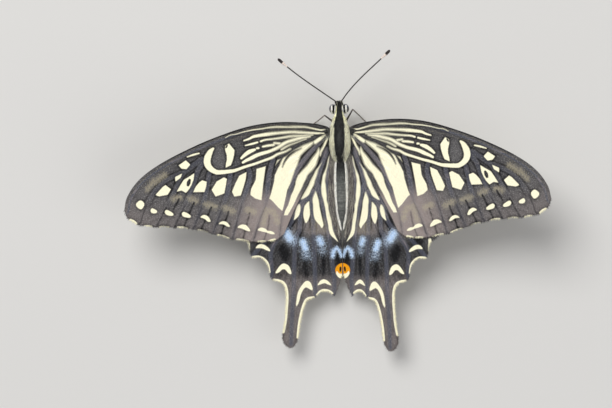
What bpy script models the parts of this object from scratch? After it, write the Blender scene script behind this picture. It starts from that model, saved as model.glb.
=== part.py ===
"""A swallowtail butterfly at life size, standing on its six feet with the wings spread.

Lengths are millimetres times MM. In the body's own frame the origin is midway between
the wing bases, +X is the butterfly's left, +Y runs towards the tails and +Z is up.
A wing is drawn in its own plane: u outwards from the wing base, v towards the tails.
"""

from math import atan2, cos, pi, radians, sin, sqrt

import bmesh
import bpy
from mathutils import Matrix, Vector

MM = 0.001

# Stance
WING_BASE_HEIGHT = 7.4 * MM
BODY_PITCH = radians(3.0)
BODY_MIDDLE = (-0.42 * MM, -14.72 * MM)
WING_BASE_HALF = 2.6 * MM

# Wings
WING_THICKNESS = 0.5 * MM
HINDWING_DROP = 0.85 * MM
WING_SPAN = 44.0
ARCH = 0.9
CAMBER = 0.4
CAMBER_REACH = 12.0
CAMBER_START = 4.0
SWING_FADE = 6.0
DIHEDRAL = {"left": radians(10.0), "right": radians(16.0)}
FORE_SWING = {"left": 0.0, "right": radians(-0.5)}
HIND_SWING = {"left": 0.0, "right": radians(2.5)}
HIND_SHIFT = {"left": (0.0, 0.0), "right": (0.45, 0.26)}
TAIL_STRETCH = {"left": 0.0, "right": 0.5}
TAIL_BASE = 34.0
TAIL_TIP = 44.6

FORE_COSTA = [(0.1, -1.1), (3.5, -1.75), (9.7, -2.1), (16.0, -1.4), (22.3, 0.45), (28.6, 2.95),
              (34.9, 6.1), (39.2, 9.2), (41.7, 12.6), (42.4, 15.4)]
FORE_TERMEN = [(42.4, 15.4), (41.4, 17.5), (38.2, 18.9), (31.0, 19.4), (25.8, 20.3),
               (20.6, 21.9), (14.5, 22.7), (11.2, 22.3), (9.4, 21.0)]
FORE_INNER = [(0.15, 1.9), (0.95, 4.2), (2.9, 8.2), (5.05, 12.1), (7.2, 16.2), (9.4, 21.0)]
FORE_COLUMNS = 22
FORE_ROWS = 12

HIND_COSTA = [(0.15, 2.7), (4.0, 5.0), (9.5, 9.6), (14.2, 14.8), (17.6, 19.0), (19.0, 21.3)]
HIND_OUTER = [(19.0, 21.3), (17.1, 22.6), (16.7, 24.4), (16.2, 25.8), (14.4, 26.0), (13.1, 27.3),
              (12.7, 28.8), (12.2, 30.2), (10.5, 30.9), (9.35, 32.2)]
HIND_ANAL = [(4.9, 34.9), (3.0, 34.4), (1.0, 33.3), (-0.95, 34.4), (-1.7, 32.4), (-2.4, 29.9)]
HIND_INNER = [(-0.15, 5.2), (-0.65, 8.0), (-0.66, 12.0), (-0.8, 15.5), (-1.15, 17.7),
              (-1.75, 20.0), (-2.35, 21.8), (-2.42, 25.5), (-2.4, 29.9)]
HIND_OUTER_COLUMNS = 15
HIND_ANAL_COLUMNS = 9
HIND_ROWS = 10
TAIL_COLUMNS = 3
# Each stretch of a tail: its two edges, outer and inner, from the wing out to the tip.
TAIL_EDGES = [((9.1, 34.6), (5.5, 36.0)), ((9.15, 36.8), (5.95, 37.4)), ((9.4, 39.4), (6.4, 39.3)),
              ((9.8, 41.3), (6.65, 41.3)), ((10.15, 42.7), (6.9, 42.8)), ((9.9, 43.8), (7.4, 43.9)),
              ((9.0, 44.5), (8.1, 44.6))]

# Body stretches: (y, half width, top, bottom) at each station, in the body's frame
HEAD_STATIONS = [(-3.78, 0.75, 0.35, -1.35), (-4.1, 1.15, 0.65, -1.65), (-4.6, 1.25, 0.75, -1.85),
                 (-5.1, 1.05, 0.6, -1.7), (-5.45, 0.6, 0.2, -1.3)]
NECK_STATIONS = [(-3.46, 1.1, 0.75, -1.6), (-2.95, 1.4, 1.15, -1.8), (-2.36, 1.6, 1.4, -2.0)]
THORAX_STATIONS = [(-2.04, 1.45, 1.25, -1.9), (-1.3, 1.95, 1.9, -2.6), (0.2, 2.2, 2.4, -3.1),
                   (2.4, 2.35, 2.7, -3.4), (4.4, 2.1, 2.2, -3.3), (6.0, 1.3, 1.0, -2.9)]
ABDOMEN_STATIONS = [(6.32, 1.2, 0.75, -2.8), (8.2, 1.55, 0.95, -3.2), (12.0, 1.6, 0.8, -3.2),
                    (15.0, 1.45, 0.4, -2.9), (17.6, 1.15, 0.0, -2.4), (19.6, 0.7, -0.35, -1.8),
                    (20.7, 0.3, -0.7, -1.3)]
HEAD_SIDES = 16
BODY_SIDES = 18
HEAD_RINGS = 7
NECK_RINGS = 3
THORAX_RINGS = 11
ABDOMEN_RINGS = 13

# Head pieces
EYE_CENTRE = (1.28, -4.62, -0.45)
EYE_RADII = (0.8, 0.98, 1.18)
EYE_GAP = 0.25
PALP_PATH = [(0.7, -5.75, -1.75), (0.6, -6.0, -1.1), (0.45, -5.98, -0.35), (0.38, -5.95, 0.0)]
PALP_RADII = [0.27, 0.33, 0.28, 0.16]
COIL_CENTRE = (0.0, -5.05, -2.8)
COIL_RADIUS = 0.5
COIL_TUBE = 0.26
ANTENNA_ROOT = (0.36, -5.62, 0.85)
ANTENNA_ELBOW = (0.6, -6.2, 1.1)
ANTENNA_LENGTH = 14.9
ANTENNA_RISE = radians(13.0)
ANTENNA_SPREAD = {"left": radians(52.0), "right": radians(45.9)}
ANTENNA_START = {"left": radians(54.0), "right": radians(27.0)}
ANTENNA_END = {"left": radians(46.0), "right": radians(46.0)}
ANTENNA_HANDLE = 0.33
ANTENNA_STEPS = 7
SHAFT_RADIUS = 0.25
CLUB_RADIUS = 0.42
CLUB_LENGTH = 1.7

# Legs, in the stance frame: origin on the floor below the wing bases. Each leg is
# (coxa, knee, ankle, toe) with x measured outwards from the body's middle.
LEGS = {
    "fore_left": [(0.95, -1.75, 4.25), (3.2, -3.5, 5.3), (4.9, -2.7, 1.3), (8.4, -0.9, 0.22)],
    "fore_right": [(0.95, -1.85, 4.25), (2.7, -4.6, 5.3), (3.7, -3.7, 1.3), (6.6, -0.8, 0.22)],
    "mid_left": [(1.35, 1.9, 3.75), (6.2, 3.2, 4.9), (9.6, 5.3, 1.1), (13.4, 8.6, 0.22)],
    "mid_right": [(1.35, 1.9, 3.75), (6.3, 2.6, 4.9), (9.9, 4.4, 1.1), (13.9, 7.4, 0.22)],
    "hind_left": [(1.25, 4.6, 3.65), (4.0, 9.2, 4.7), (5.5, 14.6, 1.1), (6.9, 20.4, 0.22)],
    "hind_right": [(1.25, 4.6, 3.65), (4.3, 9.0, 4.7), (6.2, 14.3, 1.1), (8.1, 19.8, 0.22)],
}
FEMUR_RADII = [0.3, 0.42, 0.3]
TIBIA_RADII = [0.27, 0.3, 0.3]
TARSUS_RADII = [0.28, 0.27, 0.26, 0.26, 0.26]
TARSUS_HEIGHT = 0.22
JOINT_GAP = 0.46

TUBE_RESOLUTION = 2
MERGE_DISTANCE = 1e-6

COLOURS = {
    "wing_scales": ((0.11, 0.09, 0.07), 0.75),
    "body_hair": ((0.05, 0.05, 0.05), 0.85),
    "eye": ((0.02, 0.02, 0.03), 0.25),
    "dark_cuticle": ((0.02, 0.02, 0.02), 0.45),
    "pale_leg_scales": ((0.35, 0.31, 0.22), 0.7),
}


def material(name):
    """The named material, made on first use."""
    found = bpy.data.materials.get(name)
    if found:
        return found
    colour, roughness = COLOURS[name]
    made = bpy.data.materials.new(name)
    made.use_nodes = True
    shader = made.node_tree.nodes["Principled BSDF"]
    shader.inputs["Base Color"].default_value = (*colour, 1.0)
    shader.inputs["Roughness"].default_value = roughness
    shader.inputs["Metallic"].default_value = 0.0
    return made


def add_object(name, data, finish, parent):
    """An object in the butterfly's collection, under a parent frame."""
    made = bpy.data.objects.new(name, data)
    bpy.data.collections["swallowtail"].objects.link(made)
    made.parent = parent
    data.materials.append(material(finish))
    return made


def mesh_object(name, bm, finish, parent):
    """A smooth-shaded object from a bmesh, which is used up; a closed one faces outwards."""
    closed = not any(edge.is_boundary for edge in bm.edges)
    if closed and bm.calc_volume(signed=True) < 0:
        bmesh.ops.reverse_faces(bm, faces=bm.faces)
    mesh = bpy.data.meshes.new(name)
    bm.to_mesh(mesh)
    bm.free()
    mesh.shade_smooth()
    return add_object(name, mesh, finish, parent)


def frame(name, location, rotation, parent=None):
    """An empty that carries other objects."""
    made = bpy.data.objects.new(name, None)
    bpy.data.collections["swallowtail"].objects.link(made)
    made.location = location
    made.rotation_euler = rotation
    made.parent = parent
    return made


def side_sign(side):
    """+1 on the butterfly's left, -1 on its right."""
    return 1.0 if side == "left" else -1.0


def catmull_rom(before, start, end, after, t):
    """A point of the curve from start to end that also heeds its neighbours."""
    linear = (end - before) * t
    square = (2 * before - 5 * start + 4 * end - after) * t * t
    cubic = (3 * start - before - 3 * end + after) * t * t * t
    return start + (linear + square + cubic) * 0.5


def smooth_path(points, count, fine=12):
    """count + 1 points, evenly spaced, on a smooth curve through the given ones."""
    knots = [Vector(p) for p in points]
    knots = [2 * knots[0] - knots[1], *knots, 2 * knots[-1] - knots[-2]]
    dense = []
    for i in range(1, len(knots) - 2):
        dense += [catmull_rom(*knots[i - 1:i + 3], k / fine) for k in range(fine)]
    dense.append(knots[-2])
    reached = [0.0]
    for a, b in zip(dense, dense[1:]):
        reached.append(reached[-1] + (b - a).length)
    path, i = [], 0
    for k in range(count + 1):
        target = reached[-1] * k / count
        while i < len(dense) - 2 and reached[i + 1] < target:
            i += 1
        step = reached[i + 1] - reached[i]
        path.append(dense[i].lerp(dense[i + 1], (target - reached[i]) / step))
    return path


def wing_height(u, v):
    """Height of a spread wing over its own plane: arched along the span, drooping behind."""
    across = u / WING_SPAN
    behind = (v - CAMBER_START) / CAMBER_REACH
    return 4 * ARCH * across * (1 - across) - CAMBER * (sqrt(1 + behind * behind) - 1)


def set_out(u, v, angle, shift):
    """Turns and shifts a wing point in its plane; the part along the body stays in place."""
    share = min(max((u + WING_BASE_HALF / MM) / SWING_FADE, 0.0), 1.0)
    share *= share * (3 - 2 * share)
    angle *= share
    return (u * cos(angle) - v * sin(angle) + share * shift[0],
            u * sin(angle) + v * cos(angle) + share * shift[1])


def wing_sheet(costa, termen, inner, rows):
    """A grid between four edges: rows run from the wing base (row 0) to the termen."""
    columns = len(termen) - 1
    along_costa = smooth_path(costa, rows)
    along_inner = smooth_path(inner, rows)
    base_a, base_b = along_costa[0], along_inner[0]
    tip_a, tip_b = termen[0], termen[-1]
    bm = bmesh.new()
    bmesh.ops.create_grid(bm, x_segments=columns, y_segments=rows, size=0.5)
    for vert in bm.verts:
        i = round((vert.co.x + 0.5) * columns)
        j = round((vert.co.y + 0.5) * rows)
        s, t = i / columns, j / rows
        straight = base_a.lerp(base_b, s).lerp(tip_a.lerp(tip_b, s), t)
        point = base_a.lerp(base_b, s).lerp(termen[i], t)
        point = point + along_costa[j].lerp(along_inner[j], s) - straight
        vert.co = (point.x, point.y, 0.0)
    return bm


def add_tail(bm, tail_root):
    """Draws the tail out of the termen's edges between two of its corners."""
    ends = [Vector((*corner, 0.0)) for corner in tail_root]
    reach = (ends[1] - ends[0]).length
    rim = []
    for edge in bm.edges:
        if not edge.is_boundary:
            continue
        spans = [max((v.co - ends[0]).length, (v.co - ends[1]).length) for v in edge.verts]
        if max(spans) <= reach + 1e-4:
            rim.append(edge)
    across = ends[1] - ends[0]
    for outer, inner in TAIL_EDGES:
        made = bmesh.ops.extrude_edge_only(bm, edges=rim)["geom"]
        verts = [g for g in made if isinstance(g, bmesh.types.BMVert)]
        rim = [g for g in made if isinstance(g, bmesh.types.BMEdge) and g.is_boundary
               and all(v in verts for v in g.verts)]
        a, b = Vector((*outer, 0.0)), Vector((*inner, 0.0))
        share = {v: (v.co - ends[0]).dot(across) / across.length_squared for v in verts}
        for vert in verts:
            vert.co = a.lerp(b, min(max(share[vert], 0.0), 1.0))
        ends = [a, b]
        across = b - a


def wing(name, side, bm, angle, shift, drop, parent):
    """Poses a flat wing sheet on its side of the body and gives it its thickness."""
    for vert in bm.verts:
        u, v = vert.co.x, vert.co.y
        height = wing_height(u, v)
        v += TAIL_STRETCH[side] * min(max((v - TAIL_BASE) / (TAIL_TIP - TAIL_BASE), 0.0), 1.0)
        u, v = set_out(u, v, angle, shift)
        vert.co = Vector((side_sign(side) * u, v, height)) * MM + Vector((0, 0, -drop))
    if side == "right":
        bmesh.ops.reverse_faces(bm, faces=bm.faces)
    made = mesh_object(name, bm, "wing_scales", parent)
    solidify = made.modifiers.new("thickness", "SOLIDIFY")
    solidify.thickness = WING_THICKNESS
    solidify.offset = 0.0
    return made


def forewing(side, parent):
    """The forewing, which lies over the front of the hindwing."""
    termen = smooth_path(FORE_TERMEN, FORE_COLUMNS)
    bm = wing_sheet(FORE_COSTA, termen, FORE_INNER, FORE_ROWS)
    return wing(f"forewing_{side}", side, bm, FORE_SWING[side], (0.0, 0.0), 0.0, parent)


def hindwing(side, parent):
    """The hindwing, with its toothed outer edge and long tail."""
    outer = smooth_path(HIND_OUTER, HIND_OUTER_COLUMNS)
    anal = smooth_path(HIND_ANAL, HIND_ANAL_COLUMNS)
    root_a, root_b = outer[-1], anal[0]
    bridge = [root_a.lerp(root_b, k / TAIL_COLUMNS) for k in range(1, TAIL_COLUMNS)]
    bm = wing_sheet(HIND_COSTA, outer + bridge + anal, HIND_INNER, HIND_ROWS)
    add_tail(bm, (root_a, root_b))
    return wing(f"hindwing_{side}", side, bm, HIND_SWING[side], HIND_SHIFT[side], HINDWING_DROP,
                parent)


def turned_body(stations, sides, rings):
    """A closed body whose cross-sections follow the stations from end to end."""
    sections = smooth_path(stations, rings - 1)
    bm = bmesh.new()
    bmesh.ops.create_uvsphere(bm, u_segments=sides, v_segments=rings + 1, radius=1.0)
    for vert in bm.verts:
        polar = atan2(sqrt(vert.co.x**2 + vert.co.y**2), vert.co.z)
        ring = round(polar / pi * (rings + 1)) - 1
        at_pole = ring < 0 or ring >= rings
        y, half_width, top, bottom = sections[min(max(ring, 0), rings - 1)]
        middle = (top + bottom) / 2
        turn = atan2(vert.co.y, vert.co.x)
        reach = 0.0 if at_pole else 1.0
        vert.co = Vector((half_width * cos(turn) * reach, y,
                          middle + (top - middle) * sin(turn) * reach)) * MM
    return bm


def ellipsoid(centre, radii, segments, rings):
    """An ellipsoid with its long rings round the X axis."""
    bm = bmesh.new()
    turn = Matrix.Rotation(pi / 2, 4, "Y")
    bmesh.ops.create_uvsphere(bm, u_segments=segments, v_segments=rings, radius=1.0, matrix=turn)
    bmesh.ops.scale(bm, vec=Vector(radii) * MM, verts=bm.verts)
    bmesh.ops.translate(bm, vec=Vector(centre) * MM, verts=bm.verts)
    return bm


def mirrored(point, side):
    """The point, in millimetres with x outwards, on its own side of the body."""
    return Vector((side_sign(side) * point[0], point[1], point[2]))


def tube(name, points, radii, finish, parent):
    """A round rod through the points, with its own radius at each."""
    curve = bpy.data.curves.new(name, "CURVE")
    curve.dimensions = "3D"
    curve.bevel_depth = MM
    curve.bevel_resolution = TUBE_RESOLUTION
    curve.use_fill_caps = True
    spline = curve.splines.new("POLY")
    spline.points.add(len(points) - 1)
    for knot, point, radius in zip(spline.points, points, radii):
        knot.co = (*(Vector(point) * MM), 1.0)
        knot.radius = radius
    return add_object(name, curve, finish, parent)


def curve_to_mesh(source):
    """Replaces a curve object by a closed mesh object of the same name and place."""
    bpy.context.view_layer.update()
    name, parent = source.name, source.parent
    finish = source.data.materials[0].name
    graph = bpy.context.evaluated_depsgraph_get()
    mesh = bpy.data.meshes.new_from_object(source.evaluated_get(graph))
    curve = source.data
    bpy.data.objects.remove(source)
    bpy.data.curves.remove(curve)
    bm = bmesh.new()
    bm.from_mesh(mesh)
    bpy.data.meshes.remove(mesh)
    bmesh.ops.remove_doubles(bm, verts=bm.verts, dist=MERGE_DISTANCE)
    return name, finish, parent, bm


def head(parent):
    """The head, hollowed on both sides where the eyes sit."""
    bm = turned_body(HEAD_STATIONS, HEAD_SIDES, HEAD_RINGS)
    made = mesh_object("head", bm, "body_hair", parent)
    for side in ("left", "right"):
        wide = [radius + EYE_GAP for radius in EYE_RADII]
        socket = mesh_object(f"socket_{side}", ellipsoid(mirrored(EYE_CENTRE, side), wide, 14, 9),
                             "body_hair", parent)
        bpy.data.collections["swallowtail"].objects.unlink(socket)
        bpy.data.collections["cutters"].objects.link(socket)
        socket.hide_render = True
        socket.display_type = "WIRE"
        cut = made.modifiers.new(f"socket_{side}", "BOOLEAN")
        cut.operation = "DIFFERENCE"
        cut.solver = "EXACT"
        cut.object = socket
    return made


def head_pieces(parent):
    """Eyes, palps, the coiled proboscis and the feelers."""
    for side in ("left", "right"):
        eye = ellipsoid(mirrored(EYE_CENTRE, side), EYE_RADII, 16, 10)
        mesh_object(f"eye_{side}", eye, "eye", parent)
        palp = [mirrored(point, side) for point in PALP_PATH]
        tube(f"palp_{side}", palp, PALP_RADII, "body_hair", parent)
        antenna(side, parent)
    bpy.ops.mesh.primitive_torus_add(major_segments=14, minor_segments=8,
                                     major_radius=COIL_RADIUS * MM, minor_radius=COIL_TUBE * MM)
    coil = bpy.context.object
    coil.name = coil.data.name = "proboscis"
    coil.users_collection[0].objects.unlink(coil)
    bpy.data.collections["swallowtail"].objects.link(coil)
    coil.parent = parent
    coil.location = Vector(COIL_CENTRE) * MM
    coil.rotation_euler = (0.0, pi / 2, 0.0)
    coil.data.shade_smooth()
    coil.data.materials.append(material("dark_cuticle"))


def antenna(side, parent):
    """A slender feeler that bends outwards and ends in a club."""
    root, elbow = mirrored(ANTENNA_ROOT, side), mirrored(ANTENNA_ELBOW, side)
    tip = elbow + heading(ANTENNA_SPREAD[side], side) * ANTENNA_LENGTH
    handle = ANTENNA_LENGTH * ANTENNA_HANDLE
    first = elbow + heading(ANTENNA_START[side], side) * handle
    last = tip - heading(ANTENNA_END[side], side) * handle
    club_start = 1 - CLUB_LENGTH / ANTENNA_LENGTH
    shares = [k * club_start / ANTENNA_STEPS for k in range(ANTENNA_STEPS + 1)]
    shares += [club_start + (1 - club_start) * part for part in (0.3, 0.7, 1.0)]
    radii = [SHAFT_RADIUS] * (ANTENNA_STEPS + 2) + [CLUB_RADIUS * 0.9, CLUB_RADIUS, CLUB_RADIUS * 0.6]
    points = [root] + [bezier(elbow, first, last, tip, share) for share in shares]
    tube(f"antenna_{side}", points, radii, "dark_cuticle", parent)


def heading(spread, side):
    """The rising direction that is this far to the side of straight ahead."""
    flat = cos(ANTENNA_RISE)
    return mirrored((flat * sin(spread), -flat * cos(spread), sin(ANTENNA_RISE)), side)


def bezier(start, first, last, end, t):
    """A point of the curve between two ends with their handles."""
    near = start.lerp(first, t).lerp(first.lerp(last, t), t)
    far = first.lerp(last, t).lerp(last.lerp(end, t), t)
    return near.lerp(far, t)


def stepped_back(start, end, gap):
    """The two ends of a limb piece, each drawn back by half the joint's gap."""
    along = (end - start).normalized() * gap / 2
    return start + along, end - along


def leg(label, parent):
    """One leg: femur, tibia and a tarsus that lies along the floor on a small flat."""
    side = label.split("_")[1]
    coxa, knee, ankle, toe = [mirrored(point, side) for point in LEGS[label]]
    a, b = stepped_back(coxa, knee, JOINT_GAP)
    tube(f"femur_{label}", [a, a.lerp(b, 0.4), b], FEMUR_RADII, "dark_cuticle", parent)
    a, b = stepped_back(knee, ankle, JOINT_GAP)
    tube(f"tibia_{label}", [a, a.lerp(b, 0.5), b], TIBIA_RADII, "dark_cuticle", parent)
    start = ankle + (toe - ankle).normalized() * JOINT_GAP
    landing = start.lerp(toe, 0.3)
    landing.z = TARSUS_HEIGHT
    points = [start, landing] + [landing.lerp(toe, part) for part in (0.35, 0.7, 1.0)]
    tarsus = tube(f"tarsus_{label}", points, TARSUS_RADII, "pale_leg_scales", parent)
    name, finish, parent, bm = curve_to_mesh(tarsus)
    cut = bmesh.ops.bisect_plane(bm, geom=bm.verts[:] + bm.edges[:] + bm.faces[:], clear_outer=True,
                                 plane_co=(0, 0, 0), plane_no=(0, 0, -1), dist=MERGE_DISTANCE)
    rim = [g for g in cut["geom_cut"] if isinstance(g, bmesh.types.BMEdge)]
    bmesh.ops.contextual_create(bm, geom=rim)
    mesh_object(name, bm, finish, parent)


def clear_scene():
    """Empties the scene and makes the two collections."""
    for old in list(bpy.data.objects):
        bpy.data.objects.remove(old)
    for name in ("swallowtail", "cutters"):
        bpy.context.scene.collection.children.link(bpy.data.collections.new(name))


def main():
    clear_scene()
    body = frame("body_frame", (*BODY_MIDDLE, WING_BASE_HEIGHT), (-BODY_PITCH, 0.0, 0.0))
    stance = frame("stance_frame", (*BODY_MIDDLE, 0.0), (0.0, 0.0, 0.0))
    head(body)
    head_pieces(body)
    for name, stations, rings in (("neck", NECK_STATIONS, NECK_RINGS),
                                  ("thorax", THORAX_STATIONS, THORAX_RINGS),
                                  ("abdomen", ABDOMEN_STATIONS, ABDOMEN_RINGS)):
        mesh_object(name, turned_body(stations, BODY_SIDES, rings), "body_hair", body)
    for side in ("left", "right"):
        turn = -side_sign(side) * DIHEDRAL[side]
        base = frame(f"wing_base_{side}", (side_sign(side) * WING_BASE_HALF, 0.0, 0.0),
                     (0.0, turn, 0.0), body)
        forewing(side, base)
        hindwing(side, base)
    for label in LEGS:
        leg(label, stance)


main()
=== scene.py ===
"""Looks of a swallowtail butterfly that stands on a pale floor with its wings spread.

Sizes are millimetres until a piece is placed. A wing is drawn in its own plane, with u
running outwards from the wing base and v towards the tails. The body has its own frame,
with x towards the butterfly's left, y towards the tails and z up.
"""

from __future__ import annotations

import logging
from dataclasses import dataclass, field
from enum import Enum
from math import cos, pi, radians, sin

import bmesh
import bpy
import numpy as np
from mathutils import Matrix, Vector


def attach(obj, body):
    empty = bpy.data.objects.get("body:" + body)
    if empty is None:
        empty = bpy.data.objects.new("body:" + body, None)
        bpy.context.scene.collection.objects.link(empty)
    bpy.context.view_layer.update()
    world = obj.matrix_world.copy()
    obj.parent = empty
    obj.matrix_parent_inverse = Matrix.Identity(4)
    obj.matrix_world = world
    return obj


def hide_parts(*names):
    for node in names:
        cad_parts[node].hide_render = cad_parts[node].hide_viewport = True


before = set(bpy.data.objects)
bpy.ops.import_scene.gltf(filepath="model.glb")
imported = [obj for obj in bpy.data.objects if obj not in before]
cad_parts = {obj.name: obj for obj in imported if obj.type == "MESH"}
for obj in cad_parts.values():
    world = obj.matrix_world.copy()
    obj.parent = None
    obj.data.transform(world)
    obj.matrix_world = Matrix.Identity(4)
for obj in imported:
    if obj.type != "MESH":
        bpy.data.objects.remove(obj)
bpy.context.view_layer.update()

LOG = logging.getLogger("swallowtail")
MM = 0.001
Pair = tuple[float, float]
Triple = tuple[float, float, float]
Array = np.ndarray
Mesh = bpy.types.Mesh
Object = bpy.types.Object
Material = bpy.types.Material
Socket = bpy.types.NodeSocket
Number = Socket | float
TINY = 1e-12


class Side(Enum):
    """The two sides of the butterfly, with the sign of x on each."""

    LEFT = 1
    RIGHT = -1

    @property
    def word(self) -> str:
        """The side's name as the solids use it."""
        return self.name.lower()


class Slot(Enum):
    """Names of material slots."""

    WING = "wing_scales"
    HAIR = "body_hair"
    EYE = "eye"
    CUTICLE = "dark_cuticle"
    LEG = "pale_leg_scales"


# ---- curves and fields


def smoothstep(low: float, high: float, x: Array) -> Array:
    """A soft step from 0 at low to 1 at high."""
    t = np.clip((x - low) / (high - low), 0.0, 1.0)
    return t * t * (3 - 2 * t)


def hump(x: Array, centre: float, width: float) -> Array:
    """A bell of height 1 about a centre."""
    return np.exp(-(((x - centre) / width) ** 2))


def unit(vectors: Array) -> Array:
    """The given rows, each made one long."""
    return vectors / (np.linalg.norm(vectors, axis=1, keepdims=True) + TINY)


def lengths(path: Array) -> Array:
    """The length along a path at each of its points."""
    return np.concatenate([[0], np.cumsum(np.linalg.norm(np.diff(path, axis=0), axis=1))])


def along_path(where: Array | float, marks: Array, path: Array) -> Array:
    """Places on a path, where marks tells how far along each of its points lies."""
    return np.stack([np.interp(where, marks, column) for column in path.T], -1)


def headings(turn: Array) -> Array:
    """Flat unit directions at the given turns."""
    return np.stack([np.cos(turn), np.sin(turn)], -1)


def spline(points: list, count: int, closed: bool = False) -> Array:
    """Evenly spaced points on a smooth curve through the given ones.

    Args:
        points: The knots, of two or more coordinates each.
        count: How many stretches the curve is cut into.
        closed: Whether the curve returns to its first knot.

    Returns:
        The points, count + 1 of them on an open curve and count on a closed one.
    """
    knots = np.array(points, float)
    if closed:
        knots = np.vstack([knots[-1], knots, knots[0], knots[1]])
    else:
        knots = np.vstack([2 * knots[0] - knots[1], knots, 2 * knots[-1] - knots[-2]])
    t = np.linspace(0, 1, 16, endpoint=False)[:, None]
    dense = []
    for a, b, c, d in zip(knots, knots[1:], knots[2:], knots[3:]):
        bend = (2 * a - 5 * b + 4 * c - d) * t**2 + (3 * b - a - 3 * c + d) * t**3
        dense.append(b + ((c - a) * t + bend) / 2)
    dense = np.vstack([*dense, knots[-2]])
    reached = lengths(dense)
    wanted = np.linspace(0, reached[-1], count + 1)[: count if closed else None]
    return along_path(wanted, reached, dense)


def normals_of(path: Array) -> Array:
    """Unit normals to the left of a flat path."""
    along = unit(np.gradient(path, axis=0))
    return np.stack([-along[:, 1], along[:, 0]], -1)


@dataclass(frozen=True)
class Streak:
    """A line-shaped mark with a width that may change along it."""

    path: list[Pair]
    widths: tuple[float, ...]

    def field(self, points: Array) -> Array:
        """How far each point lies inside the streak, in millimetres, negative outside."""
        path = spline(self.path, 6 * len(self.path)) if len(self.path) > 1 else np.array(self.path)
        half = np.interp(np.linspace(0, 1, len(path)),
                         np.linspace(0, 1, len(self.widths)), self.widths) / 2
        if len(path) == 1:
            return half[0] - np.linalg.norm(points - path[0], axis=1)
        best = np.full(len(points), -1e3)
        for a, b, wide_a, wide_b in zip(path, path[1:], half, half[1:]):
            reach = b - a
            share = np.clip((points - a) @ reach / (reach @ reach + TINY), 0, 1)
            away = np.linalg.norm(points - a - share[:, None] * reach, axis=1)
            best = np.maximum(best, wide_a + (wide_b - wide_a) * share - away)
        return best


@dataclass(frozen=True)
class Patch:
    """A filled mark, drawn in a little from its outline."""

    outline: list[Pair]
    trim: float = 0.11
    smooth: bool = True

    def field(self, points: Array) -> Array:
        """How far each point lies inside the patch, in millimetres, negative outside."""
        ring = np.array(self.outline)
        if self.smooth:
            ring = spline(self.outline, 4 * len(self.outline), closed=True)
        away = np.full(len(points), 1e3)
        inside = np.zeros(len(points), bool)
        for a, b in zip(ring, np.roll(ring, -1, axis=0)):
            reach = b - a
            share = np.clip((points - a) @ reach / (reach @ reach + TINY), 0, 1)
            away = np.minimum(away, np.linalg.norm(points - a - share[:, None] * reach, axis=1))
            crosses = (a[1] > points[:, 1]) != (b[1] > points[:, 1])
            at = a[0] + (points[:, 1] - a[1]) * reach[0] / (reach[1] + TINY)
            inside ^= crosses & (points[:, 0] < at)
        return np.where(inside, away, -away) - self.trim


def rays(points: Array, arc: float = 8.0) -> Array:
    """Coordinates round the wing base: the length of an arc there, and the distance out."""
    across, out = points[:, 0] + 1.6, points[:, 1] + 0.4
    return np.stack([arc * np.arctan2(out, across), np.hypot(across, out)], -1)


def union(marks: list[Streak | Patch], points: Array, far: float = 3.0,
          margin: float = 2.0) -> Array:
    """The field of several marks together, worked out only near each of them.

    Args:
        marks: The marks.
        points: Where the field is wanted.
        far: The distance given to points that are near no mark.
        margin: How far outside a mark's own box it is still worked out.

    Returns:
        How far each point lies inside the nearest mark, negative outside.
    """
    best = np.full(len(points), -far)
    for mark in marks:
        knots = np.array(mark.path if isinstance(mark, Streak) else mark.outline)
        low, high = knots.min(0) - margin, knots.max(0) + margin
        near = np.all((points > low) & (points < high), axis=1)
        best[near] = np.maximum(best[near], mark.field(points[near]))
    return best


def distance(paths: list[list[Pair]], points: Array) -> Array:
    """How far each point is from the nearest of several lines, up to union's limit."""
    return -union([Streak(path, (0.0,)) for path in paths], points)


# ---- frames


@dataclass(frozen=True)
class BodyFrame:
    """Where the body stands: its wing-base line is at a height and its head is raised."""

    middle: Pair = (-0.42, -14.72)
    height: float = 7.4
    pitch: float = radians(3.0)

    def place(self, points: Array) -> Array:
        """Points of the body's frame, in metres of the world."""
        x, y, z = np.asarray(points, float).T
        rise, fall = cos(self.pitch), sin(self.pitch)
        placed = np.stack([x + self.middle[0], y * rise + z * fall + self.middle[1],
                           z * rise - y * fall + self.height], -1)
        return placed * MM

    def directions(self, points: Array, vectors: Array) -> Array:
        """Unit directions in the world for directions of the body's frame."""
        return unit(self.place(points + vectors) - self.place(points))

    def direction(self, vector: Triple) -> Vector:
        """One direction of the body's frame in the world."""
        return Vector(self.directions(np.zeros((1, 3)), np.array([vector]))[0])


BODY = BodyFrame()


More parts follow.
